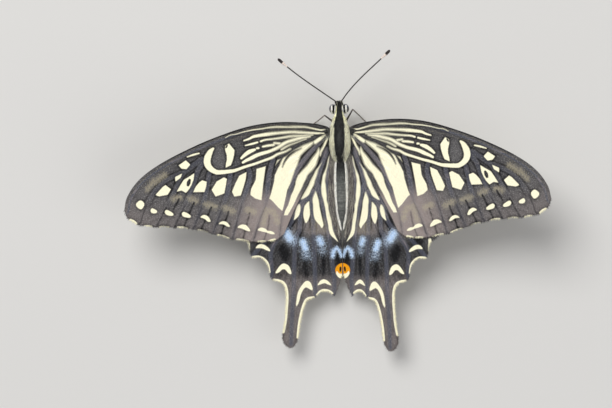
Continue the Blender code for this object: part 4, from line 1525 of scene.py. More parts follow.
@dataclass
class BodyPattern:
    """The body's marks: a black back with a painted sheen, pale yellow flanks and an ashen, lined
    abdomen.
    """

    steps: tuple[float, ...] = (-5.5, -5.25, -5.05, -3.85, -3.4, -2.8, -2.07, -1.33, -0.74, 0.74,
                                2.2, 3.7, 5.2)
    inner: tuple[float, ...] = (1.0, 0.85, 0.48, 0.58, 0.62, 0.74, 0.9, 0.98, 1.0, 1.04, 1.04, 0.95,
                                0.9)
    outer: tuple[float, ...] = (1.0, 1.08, 1.1, 1.16, 1.18, 1.34, 1.54, 1.66, 1.8, 2.05, 2.14,
                                2.05, 1.72)
    seams: tuple[float, ...] = (10.2, 12.3, 14.9, 16.5, 18.2)
    ticks: tuple[float, ...] = (8.2, 10.7, 11.75, 12.7, 15.1, 15.7)
    widths: tuple[Pair, ...] = ((6.0, 1.15), (8.0, 1.4), (12.0, 1.5), (15.0, 1.4), (17.5, 1.1),
                                (19.5, 0.7), (20.7, 0.3))
    middle: float = -0.06
    soft: float = 0.12
    line_gap: float = 0.6
    greys: tuple[Pair, ...] = ((6.3, 0.0), (7.5, 0.04), (8.5, 0.18), (9.3, 0.4), (10.5, 0.58),
                               (12.2, 0.8), (14.3, 0.95), (14.9, 0.6), (15.3, 0.85), (16.6, 0.5),
                               (18.0, 0.45), (20.6, 0.5))

    def values(self, p: Array, turn: Array) -> dict[str, Array]:
        """The numbers that the hair finish reads.

        Args:
            p: Points of the body's frame.
            turn: Their turn round the body.

        Returns:
            One array for each stored name.
        """
        x, y, height = np.abs(p[:, 0] - self.middle), p[:, 1], np.sin(turn)
        back = smoothstep(5.4, 6.6, y)
        pale = self.thorax(x, y, height) * (1 - back) + self.abdomen(x, y, height) * back
        flat = x / np.interp(y, *np.array(self.widths).T)
        ticks = sum(hump(y, at, 0.08) for at in self.ticks)
        ticks = ticks * back * smoothstep(0.5, 0.6, flat) * smoothstep(0.86, 0.78, flat)
        pale = np.maximum(pale, 0.8 * ticks * (height > 0.2))
        # Painted sheen: a lighter grey patch in the middle of the thorax's black back stands in for
        # a glossy highlight; it rides in the ash share.
        sheen = hump(x, 0.0, 0.42) * hump(y, 1.0, 2.3) * smoothstep(0.5, 0.9, height)
        ash = self.bands(x, y, turn) * back + 0.06 + 0.2 * sheen * (1 - back)
        gold = 0.9 * smoothstep(-1.0, -3.0, y) * smoothstep(-5.4, -4.6, y)
        return {"pale": pale, "ash": ash, "gold": np.maximum(gold, 0.5 * (1 - back))}

    def thorax(self, x: Array, y: Array, height: Array) -> Array:
        """How pale head and thorax are: a stripe on each side of the back, and the flanks."""
        inner, outer = np.interp(y, self.steps, self.inner), np.interp(y, self.steps, self.outer)
        above = (smoothstep(-self.soft, self.soft, x - inner)
                 * smoothstep(-self.soft, self.soft, outer - x))
        below = smoothstep(-0.15, -0.4, height) * (1 - 0.85 * hump(height, -0.45, 0.12))
        front = np.where(y < -3.3, smoothstep(-0.2, -0.5, height), 1.0)
        return np.maximum(above * smoothstep(-0.1, 0.2, height), below * front)

    def abdomen(self, x: Array, y: Array, height: Array) -> Array:
        """How pale the abdomen is: its edges from above, and a belly with dark lines."""
        flat = x / np.interp(y, *np.array(self.widths).T)
        near = np.interp(y, (17.0, 19.8), (0.61, 0.28))
        side = 1 - 0.85 * hump(height, -0.25, 0.13)
        belly = 1 - 0.8 * hump(flat, 0.35, 0.1) * smoothstep(-0.5, -0.8, height)
        return np.where(height > 0.2, smoothstep(near, near + 0.08, flat), side * belly)

    def bands(self, x: Array, y: Array, turn: Array) -> Array:
        """How ashen the abdomen's back is: fine wavering lines, dark at the seams."""
        wander = 0.12 * np.sin(2.3 * y + 3 * turn) + 0.08 * np.sin(9 * x + 5 * y)
        lines = 0.5 + 0.5 * np.cos(2 * pi * (y + wander) / self.line_gap)
        seams = sum(hump(y, at, 0.11) for at in self.seams)
        level = np.interp(y, *np.array(self.greys).T) * smoothstep(0.0, 0.3, np.sin(turn))
        return level * (0.56 + 0.42 * lines) * (1 - 0.5 * seams)


@dataclass(frozen=True)
class Stretch:
    """One stretch of the coat: where it grows and how its hair lies.

    The span runs along the body, width is half a tuft's, and lift is how far the tips
    stand off, as shares of the length.
    """

    name: str
    count: int
    span: Pair
    length: Pair
    width: Pair
    lean: Triple
    lift: Pair
    seed: int


@dataclass
class Torso:
    """The body's skin and its coat."""

    shape: TorsoShape = field(default_factory=TorsoShape)
    pattern: BodyPattern = field(default_factory=BodyPattern)
    stretches: tuple[Stretch, ...] = (
        Stretch("thorax_coat", 9500, (-2.1, 6.0), (0.6, 1.15), (0.022, 0.038), (0, 1, 0),
                (0.03, 0.18), 11),
        Stretch("thorax_fringe", 1700, (2.2, 5.0), (1.1, 2.0), (0.018, 0.032), (0, 1, 0.08),
                (0.02, 0.16), 16),
        Stretch("collar_coat", 2600, (-3.7, -1.6), (0.4, 0.7), (0.02, 0.03), (0, 1, 0),
                (0.05, 0.25), 12),
        Stretch("head_coat", 2200, (-5.5, -3.7), (0.25, 0.45), (0.015, 0.025), (0, -1, 0.5),
                (0.2, 0.6), 13),
        Stretch("brow_coat", 2400, (-5.62, -5.0), (0.7, 1.15), (0.022, 0.036), (0, -1, 0.45),
                (0.05, 0.4), 15),
        Stretch("abdomen_coat", 11000, (5.8, 20.5), (0.25, 0.42), (0.018, 0.028), (0, 1, 0),
                (0.1, 0.26), 14))
    stray_share: float = 0.09
    stray_pale: float = 0.2
    stray_ash: float = 0.27
    wander: float = 0.16
    splay: float = 0.25
    sunk: float = 0.015
    pole: float = 1e-4

    def skin(self, finish: Material) -> Object:
        """One closed skin over head, neck, thorax and abdomen."""
        bm = bmesh.new()
        shape = self.shape
        bmesh.ops.create_uvsphere(bm, u_segments=shape.turns, v_segments=shape.rings + 1,
                                  radius=1.0)
        mesh = mesh_of(bm, "body_skin")
        ball = points_of(mesh)
        out = np.hypot(ball[:, 0], ball[:, 1])
        polar = np.arctan2(out, ball[:, 2])
        share = np.clip((polar / pi * (shape.rings + 1) - 1) / (shape.rings - 1), 0, 1)
        y = shape.y[0] + (shape.y[-1] - shape.y[0]) * share
        turn = np.arctan2(ball[:, 1], ball[:, 0])
        points = shape.surface(y, turn)
        centre = (points + shape.surface(y, turn + pi)) / 2
        points[out < self.pole] = centre[out < self.pole]
        move_points(mesh, BODY.place(points))
        mesh.flip_normals()
        for name, value in self.pattern.values(points, turn).items():
            set_values(mesh, name, value)
        uv = shape.to_map(y, turn)[corner_points(mesh)]
        set_map(mesh, "OFBake", self.mend_seam(mesh, uv))
        return dress(mesh, finish, ["head", "neck", "thorax", "abdomen"])

    def mend_seam(self, mesh: Mesh, uv: Array) -> Array:
        """Keeps faces from stretching right across the map at the belly line."""
        total = read(mesh.polygons, "loop_total", kind=np.int32)
        start = np.concatenate([[0], np.cumsum(total)[:-1]])
        high = np.maximum.reduceat(uv[:, 0], start)
        low = np.minimum.reduceat(uv[:, 0], start)
        torn = np.repeat(high - low > 0.5, total)
        uv[torn & (uv[:, 0] < 0.5), 0] += self.shape.map_size
        return uv

    def scatter(self, chance: np.random.Generator, count: int, low: float,
                high: float) -> tuple[Array, Array]:
        """Places on the skin, spread evenly by area.

        Args:
            chance: The source of random numbers.
            count: How many places.
            low: The front limit along the body.
            high: The rear limit along the body.

        Returns:
            The places' y and turn.
        """
        y = chance.uniform(low, high, count * 3)
        turn = chance.uniform(-pi, pi, count * 3)
        half = np.interp(y, self.shape.y, self.shape.half)
        reach = np.interp(y, self.shape.y, self.shape.top - self.shape.low) / 2
        size = np.hypot(half * np.sin(turn), reach * np.cos(turn))
        kept = chance.uniform(0, size.max(), count * 3) < size
        return y[kept][:count], turn[kept][:count]

    def coat(self, part: Stretch, finish: Material) -> Object:
        """Grows one stretch of the coat, with a few stray and ashen hairs in it."""
        chance = np.random.default_rng(part.seed)
        y, turn = self.scatter(chance, part.count, *part.span)
        count = len(y)
        points = self.shape.surface(y, turn)
        up = self.shape.normals(y, turn)
        aim = np.array(part.lean, float)[None] + chance.normal(0, self.wander, (count, 3))
        aim[:, 0] += self.splay * np.sign(points[:, 0]) * np.abs(np.cos(turn))
        lay = unit(aim - up * np.sum(aim * up, axis=1, keepdims=True))
        values = self.pattern.values(points, turn)
        stray = chance.uniform(0, 1, count) < self.stray_share
        values["pale"] = np.where(stray, self.stray_pale, values["pale"])
        values["ash"] = values["ash"] + self.stray_ash * chance.uniform(0, 1, count) ** 3
        return TuftBed(part.name).build(
            BODY.place(points - up * self.sunk), BODY.directions(points, lay),
            BODY.directions(points, up), chance.uniform(*part.length, count),
            chance.uniform(*part.width, count), chance.uniform(*part.lift, count),
            self.shape.to_map(y, turn), values, finish)

    def build(self, finish: Material) -> None:
        """Makes the skin and all stretches of the coat."""
        self.skin(finish)
        for part in self.stretches:
            self.coat(part, finish)


# ---- head pieces


@dataclass
class Eye:
    """One large compound eye with a rim of white scales behind it."""

    side: Side
    centre: Triple = (1.28, -4.62, -0.45)
    radii: Triple = (0.8, 0.98, 1.18)
    tries: int = 9000
    scales: int = 2600
    wander: float = 0.14
    lean: Triple = (0.0, 1.0, -0.1)
    scale_length: Pair = (0.18, 0.3)
    scale_width: Pair = (0.018, 0.028)
    scale_lift: Pair = (0.02, 0.12)

    def dome(self, finish: Material) -> Object:
        """The faceted eye, with a painted reflection on its upper front."""
        bm = bmesh.new()
        bmesh.ops.create_uvsphere(bm, u_segments=64, v_segments=40, radius=1.0,
                                  matrix=Matrix.Rotation(pi / 2, 4, "Y"))
        mesh = mesh_of(bm, f"{self.side.word}_eye_dome")
        ball = points_of(mesh)
        points = ball * self.radii + self.centre
        points[:, 0] *= self.side.value
        move_points(mesh, BODY.place(points))
        if self.side is Side.RIGHT:
            mesh.flip_normals()
        # Painted reflection: the upper front of the dome is marked pale, and the sky's reflection
        # is painted there.
        front = smoothstep(-0.1, 0.6, -ball[:, 1]) * smoothstep(0.2, 0.8, ball[:, 2])
        set_values(mesh, "pale", front)
        return dress(mesh, finish, [f"eye_{self.side.word}"])

    def rim(self, finish: Material, seed: int) -> Object:
        """White scales round the rear of the eye, with a black streak between them."""
        chance = np.random.default_rng(seed)
        ball = unit(chance.normal(0, 1, (self.tries, 3)))
        ball[:, 2] = np.abs(ball[:, 2])
        out, back, high = ball.T
        crown = (out < 0.5 - 0.3 * np.clip(-back, 0, 1)) & (high > 0.12) & (back > -0.75)
        nape = (back > 0.74) & (out < 0.75)
        ball = ball[crown | nape][:self.scales]
        out, count = ball[:, 0], len(ball)
        points = ball * self.radii + self.centre
        up = unit(ball / np.array(self.radii))
        lay = np.array(self.lean)[None] + chance.normal(0, self.wander, (count, 3))
        lay = unit(lay - up * np.sum(lay * up, axis=1, keepdims=True))
        for part in (points, up, lay):
            part[:, 0] *= self.side.value
        white = np.where((out > 0.04) | (out < -0.42), 1.0, 0.0)
        values = {"pale": white, "ash": np.zeros(count), "gold": np.zeros(count)}
        return TuftBed(f"{self.side.word}_eye_rim").build(
            BODY.place(points), BODY.directions(points, lay), BODY.directions(points, up),
            chance.uniform(*self.scale_length, count), chance.uniform(*self.scale_width, count),
            chance.uniform(*self.scale_lift, count), 0.5 + 0.45 * ball[:, :2], values, finish)


@dataclass
class Antenna:
    """One feeler: a ringed shaft, a pale band and a black club."""

    side: Side
    spread: float
    start: float
    end: float
    root: Triple = (0.44, -5.3, 0.55)
    elbow: Triple = (0.68, -6.2, 1.1)
    length: float = 14.9
    rise: float = radians(13.0)
    handle: float = 0.33
    shaft: float = 0.13
    club: float = 0.31
    cap: float = 0.55
    flare: float = 0.02
    ring_gap: float = 0.42
    ring_depth: float = 0.07
    steps: int = 150
    root_steps: int = 12
    sides: int = 14

    def heading(self, spread: float) -> Vector:
        """The rising direction this far to the side of straight ahead."""
        flat = cos(self.rise)
        return Vector((flat * sin(spread), -flat * cos(spread), sin(self.rise)))

    def path(self) -> Array:
        """The centre line from the head to the club's tip, in the body's frame."""
        start = Vector(self.elbow)
        tip = start + self.heading(self.spread) * self.length
        reach = self.length * self.handle
        knots = [start, start + self.heading(self.start) * reach,
                 tip - self.heading(self.end) * reach, tip]
        t = np.linspace(0, 1, self.steps)[:, None]
        a, b, c, d = (np.array(k)[None] for k in knots)
        curve = a * (1 - t) ** 3 + 3 * b * t * (1 - t) ** 2 + 3 * c * t**2 * (1 - t) + d * t**3
        foot = np.linspace(0, 1, self.root_steps, endpoint=False)[:, None]
        base = np.array(self.root)[None] * (1 - foot) + a * foot
        points = np.vstack([base, curve])
        points[:, 0] *= self.side.value
        return points

    def radii(self, reached: Array, ring: Array) -> Array:
        """The radius along the feeler: a ringed shaft that swells into a rounded club.

        Args:
            reached: The length along the feeler at each station.
            ring: How far each station lies up on a ring.

        Returns:
            The radius at each station.
        """
        left = reached[-1] - reached
        radius = self.shaft * (1 - self.ring_depth * ring**4)
        radius += self.flare * np.exp(-2 * reached)
        radius += smoothstep(2.6, 1.0, left) * (self.club - self.shaft)
        round_off = np.sqrt(np.clip(1 - (1 - left / self.cap) ** 2, 0.02, 1))
        return radius * np.where(left < self.cap, round_off, 1.0)

    def build(self, finish: Material) -> Object:
        """Makes the feeler."""
        path = self.path()
        reached = lengths(path)
        ring = 0.5 + 0.5 * np.cos(2 * pi * reached / self.ring_gap)
        bm = bmesh.new()
        sweep(bm, path, self.radii(reached, ring), self.sides)
        mesh = mesh_of(bm, f"{self.side.word}_feeler")
        points = points_of(mesh)
        near = nearest_station(path, points)
        left = reached[-1] - reached[near]
        pale = 1.2 * smoothstep(1.15, 1.35, left) * smoothstep(2.7, 2.2, left)
        set_values(mesh, "pale", pale + 0.15 * smoothstep(0.0, 0.6, left))
        set_values(mesh, "ringed", ring[near] ** 6)
        move_points(mesh, BODY.place(points))
        return dress(mesh, finish, [f"antenna_{self.side.word}"])


@dataclass
class Mouthparts:
    """The coiled proboscis and the two hairy palps that flank it."""

    coil_centre: Triple = (0.0, -5.05, -2.62)
    coil_radius: float = 0.62
    coil_turns: float = 2.6
    coil_steps: int = 150
    coil_lead: tuple[Triple, ...] = ((0.0, -5.15, -1.4), (0.0, -5.08, -1.75))
    palp_steps: int = 24
    palp_hairs: int = 520
    hair_length: Pair = (0.25, 0.45)
    hair_width: Pair = (0.015, 0.025)
    hair_lift: Pair = (0.1, 0.5)
    palp: tuple[Triple, ...] = ((0.52, -5.0, -1.5), (0.55, -5.5, -1.55), (0.5, -5.85, -1.1),
                                (0.42, -5.98, -0.4), (0.36, -5.98, 0.0))

    def proboscis(self, finish: Material) -> Object:
        """A tapering tube wound in a flat coil under the head."""
        turn = np.linspace(0, self.coil_turns * 2 * pi, self.coil_steps)
        radius = self.coil_radius * (1 - 0.72 * turn / turn[-1])
        _, back, height = self.coil_centre
        coil = np.stack([0.0 * turn, back + radius * np.sin(turn),
                         height + radius * np.cos(turn)], -1)
        path = np.vstack([self.coil_lead, coil])
        radii = np.interp(np.arange(len(path)), (0, 10, len(path)), (0.13, 0.12, 0.06))
        bm = bmesh.new()
        sweep(bm, path, radii, sides=10)
        mesh = mesh_of(bm, "coiled_proboscis")
        points = points_of(mesh)
        set_values(mesh, "pale", np.full(len(points), 0.15))
        turned = np.arctan2(points[:, 1] - back, points[:, 2] - height)
        set_values(mesh, "ringed", 0.6 * (0.5 + 0.5 * np.cos(turned * 40)) ** 3)
        move_points(mesh, BODY.place(points))
        return dress(mesh, finish, ["proboscis"])

    def palp_line(self, side: Side) -> tuple[Array, Array]:
        """A palp's centre line, and its radius at each point of it."""
        path = spline(list(self.palp), self.palp_steps)
        path[:, 0] *= side.value
        share = np.linspace(0, 1, self.palp_steps + 1)
        return path, np.interp(share, (0, 0.4, 0.8, 1), (0.14, 0.2, 0.15, 0.05))

    def palp_skin(self, side: Side, finish: Material) -> Object:
        """One palp under its hair."""
        bm = bmesh.new()
        sweep(bm, *self.palp_line(side), sides=14)
        mesh = mesh_of(bm, f"{side.word}_palp_skin")
        points = points_of(mesh)
        for name, value in (("pale", 0.8), ("ash", 0.0), ("gold", 0.3)):
            set_values(mesh, name, np.full(len(points), value))
        move_points(mesh, BODY.place(points))
        return dress(mesh, finish, [f"palp_{side.word}"])

    def palp_hair(self, side: Side, finish: Material, seed: int) -> Object:
        """One palp's hair: pale, and black in front of and above its end."""
        path, radii = self.palp_line(side)
        chance = np.random.default_rng(seed)
        count = self.palp_hairs
        at = chance.uniform(0.1, 0.97, count)
        around = chance.uniform(0, 2 * pi, count)
        share, stations = at * self.palp_steps, np.arange(self.palp_steps + 1)
        centre = along_path(share, stations, path)
        along = unit(along_path(share, stations, np.gradient(path, axis=0)))
        cross = unit(np.cross(along, np.array([1.0, 0.0, 0.0])))
        other = np.cross(along, cross)
        up = cross * np.cos(around)[:, None] + other * np.sin(around)[:, None]
        root = centre + 0.9 * up * np.interp(share, stations, radii)[:, None]
        lay = along + 0.35 * up
        lay = unit(lay - 0.6 * up * np.sum(lay * up, axis=1, keepdims=True))
        forward = smoothstep(-0.2, 0.4, -up[:, 1])
        dark = np.maximum(forward, smoothstep(0.1, 0.5, up[:, 2])) * (at > 0.5)
        values = {"pale": 0.95 - 0.9 * np.maximum(dark, at > 0.82), "ash": np.zeros(count),
                  "gold": np.full(count, 0.25)}
        return TuftBed(f"{side.word}_palp_hair").build(
            BODY.place(root), BODY.directions(root, lay), BODY.directions(root, up),
            chance.uniform(*self.hair_length, count), chance.uniform(*self.hair_width, count),
            chance.uniform(*self.hair_lift, count),
            0.05 + 0.9 * np.stack([around / 6.3, at], -1), values, finish)


# ---- legs


@dataclass
class Leg:
    """One leg: coxa, femur, tibia with spurs, five-part tarsus and two claws.

    Its joints are hip, knee, ankle and toe; its foot_joints count the leg's stretches.
    """

    label: str
    side: Side
    joints: tuple[Triple, Triple, Triple, Triple]
    thigh: float = 0.19
    shin: float = 0.12
    foot: float = 0.1
    waist: float = 0.035
    claw: tuple[Triple, ...] = ((-0.05, 0.0, 0.0), (0.12, 0.1, 0.04), (0.26, 0.13, -0.02),
                                (0.3, 0.1, -0.07))
    foot_joints: tuple[float, ...] = (3.55, 4.2, 4.45, 4.7)
    sides: int = 12

    def path(self) -> tuple[Array, Array, Array]:
        """The leg's centre line with its radii.

        Returns:
            Points over the floor, radii, and how many of the leg's stretches lie behind
            each point.
        """
        hip, knee, ankle, toe = (np.array(j) for j in self.joints)
        start = hip * (0.62, 1.0, 1.0) + (0.0, -0.1, 0.55)
        landing = ankle + (toe - ankle) * 0.26
        landing[2] = self.foot + 0.02
        toe[2] = self.foot * 0.8
        stretches = [(start, hip, 5), (hip, knee, 16), (knee, ankle, 20), (ankle, landing, 7),
                     (landing, toe, 30)]
        points = np.vstack([a + (b - a) * np.linspace(0, 1, n, endpoint=False)[:, None]
                            for a, b, n in stretches] + [toe])
        t = np.concatenate([k + np.linspace(0, 1, n, endpoint=False)
                            for k, (_, _, n) in enumerate(stretches)] + [[5.0]])
        radius = np.interp(t, (0, 0.9, 1, 1.4, 1.85, 2.0, 2.1, 2.5, 2.9, 3.0, 3.1, 4.0, 4.9, 5.0),
                           (0.3, 0.28, 0.22, self.thigh, 0.15, 0.13, 0.11, self.shin, 0.12, 0.12,
                            self.foot, self.foot, self.foot * 0.9, self.foot * 0.55))
        for joint in self.foot_joints:
            radius = radius - self.waist * hump(t, joint, 0.035)
        return points, radius, t

    def build(self, finish: Material) -> Object:
        """Makes the leg with its claws and spurs in one piece."""
        path, radius, t = self.path()
        bm = bmesh.new()
        sweep(bm, path, radius, self.sides)
        self.claws(bm, path)
        self.spurs(bm, path, t)
        mesh = mesh_of(bm, f"leg_{self.label}")
        points = points_of(mesh)
        near = nearest_station(path, points)
        share = t[near]
        below = smoothstep(0.02, -0.1, points[:, 2] - path[near][:, 2])
        foot = share >= 2.1
        pale = 0.75 * below * ~foot + 0.35 * foot + 0.35 * hump(share, 2.0, 0.08)
        set_values(mesh, "pale", np.clip(pale, 0, 1))
        rings = sum(hump(share, joint, 0.05) for joint in (2.0, 3.02, *self.foot_joints))
        set_values(mesh, "ringed", np.clip(rings, 0, 1))
        points[:, 0] *= self.side.value
        points += (*BODY.middle, 0.0)
        points[:, 2] = np.maximum(points[:, 2], 0.0)
        move_points(mesh, points * MM)
        if self.side is Side.RIGHT:
            mesh.flip_normals()
        nodes = [f"{part}_{self.label}" for part in ("femur", "tibia", "tarsus")]
        return dress(mesh, finish, nodes)

    def claws(self, bm: bmesh.types.BMesh, path: Array) -> None:
        """Adds the two hooked claws at the toe."""
        toe, ahead = path[-1], path[-1] - path[-4]
        ahead /= np.linalg.norm(ahead)
        aside = np.cross(ahead, (0.0, 0.0, 1.0))
        for sign in (-1, 1):
            bend = [toe + ahead * out + aside * sign * wide + (0, 0, rise)
                    for out, wide, rise in self.claw]
            hook = spline(bend, 8)
            hook[:, 2] = np.maximum(hook[:, 2], 0.02)
            sweep(bm, hook, np.linspace(0.05, 0.012, 9), 6)

    def spurs(self, bm: bmesh.types.BMesh, path: Array, t: Array) -> None:
        """Adds the tibia's end spurs and two rows of short spines under the foot."""
        shin = [(2.2 + 0.09 * k, 0.16) for k in range(7)]
        foot = [(3.2 + 0.16 * k, 0.14) for k in range(11)]
        for share, size in ((2.93, 0.42), *shin, *foot):
            at, on = along_path(share, t, path), along_path(share + 0.05, t, path)
            ahead = (on - at) / (np.linalg.norm(on - at) + TINY)
            aside = np.cross(ahead, (0.0, 0.0, 1.0))
            aside /= np.linalg.norm(aside) + TINY
            for sign in (-1, 1):
                tip = at + ahead * size * 0.8 + aside * sign * (0.1 + size * 0.45)
                tip[2] = max(tip[2] - 0.03, 0.03)
                root = at + aside * sign * 0.08
                spine = np.array([root, (root + tip) / 2, tip])
                sweep(bm, spine, np.array([0.03, 0.02, 0.008]), 5)


# ---- wing bases


@dataclass
class WingBaseHair:
    """Long soft hair over a forewing's base and along the hindwing's inner fold."""

    side: Side
    fore: WingSet
    hind: WingSet
    fore_level: float
    hind_level: float
    seed: int
    base_count: int = 420
    fold_count: int = 2600
    base_length: Pair = (0.25, 0.6)
    fold_length: Pair = (1.0, 2.0)
    width: Pair = (0.012, 0.022)
    lift: Pair = (0.03, 0.25)
    step: float = 0.3
    fold_edge: tuple[Pair, ...] = ((4.6, -0.9), (8.0, -0.95), (12.0, -0.95), (15.5, -1.0),
                                   (17.7, -1.35), (21.0, -2.2))
    fold_reach: tuple[Pair, ...] = ((4.6, 0.5), (8.0, 0.95), (14.0, 1.1), (18.0, 0.75),
                                    (21.0, 0.45))

    def grow(self, name: str, pose: WingSet, level: float, roots: Array, turn: Array,
             length: Pair, colours: Triple | tuple[Array, float, float], plan: WingPlan,
             finish: Material) -> Object:
        """Lays hair on a wing.

        Args:
            name: The piece's name.
            pose: The wing's pose.
            level: The roots' height over the wing's middle.
            roots: The roots, in the wing's plane.
            turn: The hairs' directions, as turns in the wing's plane.
            length: Shortest and longest hair.
            colours: How pale each hair is, how golden the pale ones and how ashen the dark.
            plan: The wing's plan, for the bake's map.
            finish: The hair's finish.

        Returns:
            The joined hair.
        """
        chance = np.random.default_rng(self.seed)
        count = len(roots)
        start = pose.place(*roots.T, level)
        lay = pose.directions(roots, headings(turn), level, self.step)
        up = unit(pose.place(*roots.T, level + self.step) - start)
        values = {key: np.broadcast_to(value, count)
                  for key, value in zip(("pale", "gold", "ash"), colours)}
        return TuftBed(name).build(start, lay, up, chance.uniform(*length, count),
                                   chance.uniform(*self.width, count),
                                   chance.uniform(*self.lift, count), plan.to_map(roots), values,
                                   finish)

    def base(self, chance: np.random.Generator, plan: WingPlan, finish: Material) -> None:
        """Makes the hair over the forewing's base, which fans out from the shoulder."""
        count = self.base_count
        u = -0.6 + 2.0 * chance.beta(1.0, 2.4, count)
        out = np.maximum(u, 0)
        v = chance.uniform(-0.9, 2.2, count) * (0.6 + 0.3 * out) + 0.6 * out
        turn = np.arctan2(v + 0.4, u + 1.6) + chance.normal(0, 0.15, count)
        pale = np.where(v > 0.9 + 0.5 * u, 0.45, 0.05) + chance.normal(0, 0.25, count)
        self.grow(f"{self.side.word}_forewing_base_hair", self.fore, self.fore_level,
                  np.stack([u, v], -1), turn, self.base_length, (np.clip(pale, 0, 1), 0.3, 0.3),
                  plan, finish)

    def fold(self, chance: np.random.Generator, plan: WingPlan, finish: Material) -> None:
        """Makes the long streaky hair along the hindwing's inner fold."""
        count = self.fold_count
        v = chance.uniform(self.fold_edge[0][0], self.fold_edge[-1][0], count)
        edge = np.interp(v, *np.array(self.fold_edge).T)
        reach = np.interp(v, *np.array(self.fold_reach).T)
        u = edge - 0.1 + reach * chance.beta(1.0, 1.6, count)
        turn = radians(97) + chance.normal(0, 0.1, count) - 0.2 * (u - edge)
        streak = 0.5 + 0.5 * np.cos(2 * pi * (2.4 * (u - edge) + 0.3 * np.sin(1.1 * v)))
        pale = np.where(chance.uniform(0, 1, count) < 0.08 + 0.62 * streak**2, 0.95, 0.05)
        self.grow(f"{self.side.word}_hindwing_fold_hair", self.hind, self.hind_level,
                  np.stack([u, v], -1), turn, self.fold_length, (pale, 0.2, 0.75), plan, finish)

    def build(self, fore_plan: WingPlan, hind_plan: WingPlan, finish: Material,
              fold: Material) -> None:
        """Makes the hair of both wings on this side."""
        chance = np.random.default_rng(self.seed + 5)
        self.base(chance, fore_plan, finish)
        self.fold(chance, hind_plan, fold)


# ---- studio


@dataclass
class Studio:
    """Floor, lights and camera."""

    lean: float = radians(4.5)
    roll: float = radians(1.317)
    distance: float = 700.0
    view_width: float = 126.93
    aim: Pair = (6.95, 15.14)
    sensor: float = 36.0
    floor_radius: float = 3.0
    sky: tuple[float, float, float, float] = (0.93, 0.95, 1.0, 1.0)
    sky_strength: float = 0.36
    lamps: tuple[tuple[str, Triple, float, float], ...] = (
        ("key", (0.25, -0.45, 0.9), 0.7, 8.0), ("fill", (-0.7, 0.5, 0.7), 1.0, 2.9))

    def camera(self) -> None:
        """Looks straight down on the wings, with the head at the top of the frame."""
        back = BODY.direction((-sin(self.lean), 0.0, cos(self.lean)))
        up = BODY.direction((0.0, -1.0, 0.0))
        up = (up - back * up.dot(back)).normalized()
        right = up.cross(back)
        tall = up * cos(self.roll) + right * sin(self.roll)
        wide = right * cos(self.roll) - up * sin(self.roll)
        base = Vector(BODY.place(np.zeros((1, 3)))[0])
        left, below = self.aim
        centre = base - (wide * left + tall * below) * MM
        data = bpy.data.cameras.new("camera")
        data.sensor_width = self.sensor
        data.lens = self.sensor * self.distance / self.view_width
        data.clip_start, data.clip_end = 0.01, 20.0
        made = bpy.data.objects.new("camera", data)
        bpy.context.scene.collection.objects.link(made)
        made.matrix_world = Matrix.Translation(centre + back * self.distance * MM) @ Matrix(
            (wide, tall, back)).transposed().to_4x4()
        bpy.context.scene.camera = made

    def floor(self) -> None:
        """A wide plain floor."""
        bm = bmesh.new()
        bmesh.ops.create_circle(bm, cap_ends=True, segments=96, radius=self.floor_radius)
        mesh = mesh_of(bm, "floor")
        mesh.materials.append(FloorFinish().make())
        to_object("floor", mesh)

    def lights(self) -> None:
        """A large soft key, a weaker fill and a pale surround."""
        for name, place, size, power in self.lamps:
            data = bpy.data.lights.new(name, "AREA")
            data.shape = "DISK"
            data.size = size
            data.energy = power
            made = bpy.data.objects.new(name, data)
            bpy.context.scene.collection.objects.link(made)
            made.location = place
            made.rotation_euler = (-Vector(place)).to_track_quat("-Z", "Y").to_euler()
        world = bpy.data.worlds.new("surround")
        bpy.context.scene.world = world
        world.use_nodes = True
        sky = world.node_tree.nodes["Background"]
        sky.inputs["Color"].default_value = self.sky
        sky.inputs["Strength"].default_value = self.sky_strength
        bpy.context.scene.view_settings.view_transform = "Standard"

    def build(self) -> None:
        """Sets up the studio."""
        self.camera()
        self.floor()
        self.lights()


# ---- butterfly


class Stance(Enum):
    """The six legs: hip, knee, ankle and toe, outwards, backwards and up from the floor."""

    FORE_LEFT = ((0.95, -1.75, 4.25), (3.2, -3.5, 5.3), (4.9, -2.7, 1.3), (8.4, -0.9, 0.22))
    FORE_RIGHT = ((0.95, -1.85, 4.25), (2.7, -4.6, 5.3), (3.7, -3.7, 1.3), (6.6, -0.8, 0.22))
    MID_LEFT = ((1.35, 1.9, 3.75), (6.2, 3.2, 4.9), (9.6, 5.3, 1.1), (13.4, 8.6, 0.22))
    MID_RIGHT = ((1.35, 1.9, 3.75), (6.3, 2.6, 4.9), (9.9, 4.4, 1.1), (13.9, 7.4, 0.22))
    HIND_LEFT = ((1.25, 4.6, 3.65), (4.0, 9.2, 4.7), (5.5, 14.6, 1.1), (6.9, 20.4, 0.22))
    HIND_RIGHT = ((1.25, 4.6, 3.65), (4.3, 9.0, 4.7), (6.2, 14.3, 1.1), (8.1, 19.8, 0.22))

    @property
    def label(self) -> str:
        """The leg's name as the solids use it."""
        return self.name.lower()

    @property
    def side(self) -> Side:
        """The side that the leg is on."""
        return Side[self.name.split("_")[1]]


@dataclass
class WingKind:
    """What the left and the right wing of one kind share."""

    word: str
    marks: ForewingMarks | HindwingMarks
    plan: WingPlan
    flat: Mesh
    edge: Array
    lift: float
    seed: int

    def __post_init__(self) -> None:
        """Stores the maps and the marks on the flat wing."""
        self.plan.unwrap(self.flat)
        for name, value in self.marks.values(points_of(self.flat)[:, :2]).items():
            set_values(self.flat, name, value)

    def sheet(self, pose: WingSet, upper: Material, under: Material) -> Object:
        """Builds the wing itself."""
        side = pose.side.word
        wing = Membrane(f"{side}_{self.word}_sheet", [f"{self.word}_{side}"], pose, self.plan,
                        self.lift)
        return wing.build(self.flat, upper, under)

    def fringe(self, pose: WingSet, finish: Material) -> Object:
        """Grows the wing's fringe."""
        fringe = WingFringe(f"{pose.side.word}_{self.word}_fringe", pose, self.plan, self.lift,
                            self.seed + pose.side.value)
        return fringe.build(self.edge, self.marks, finish)


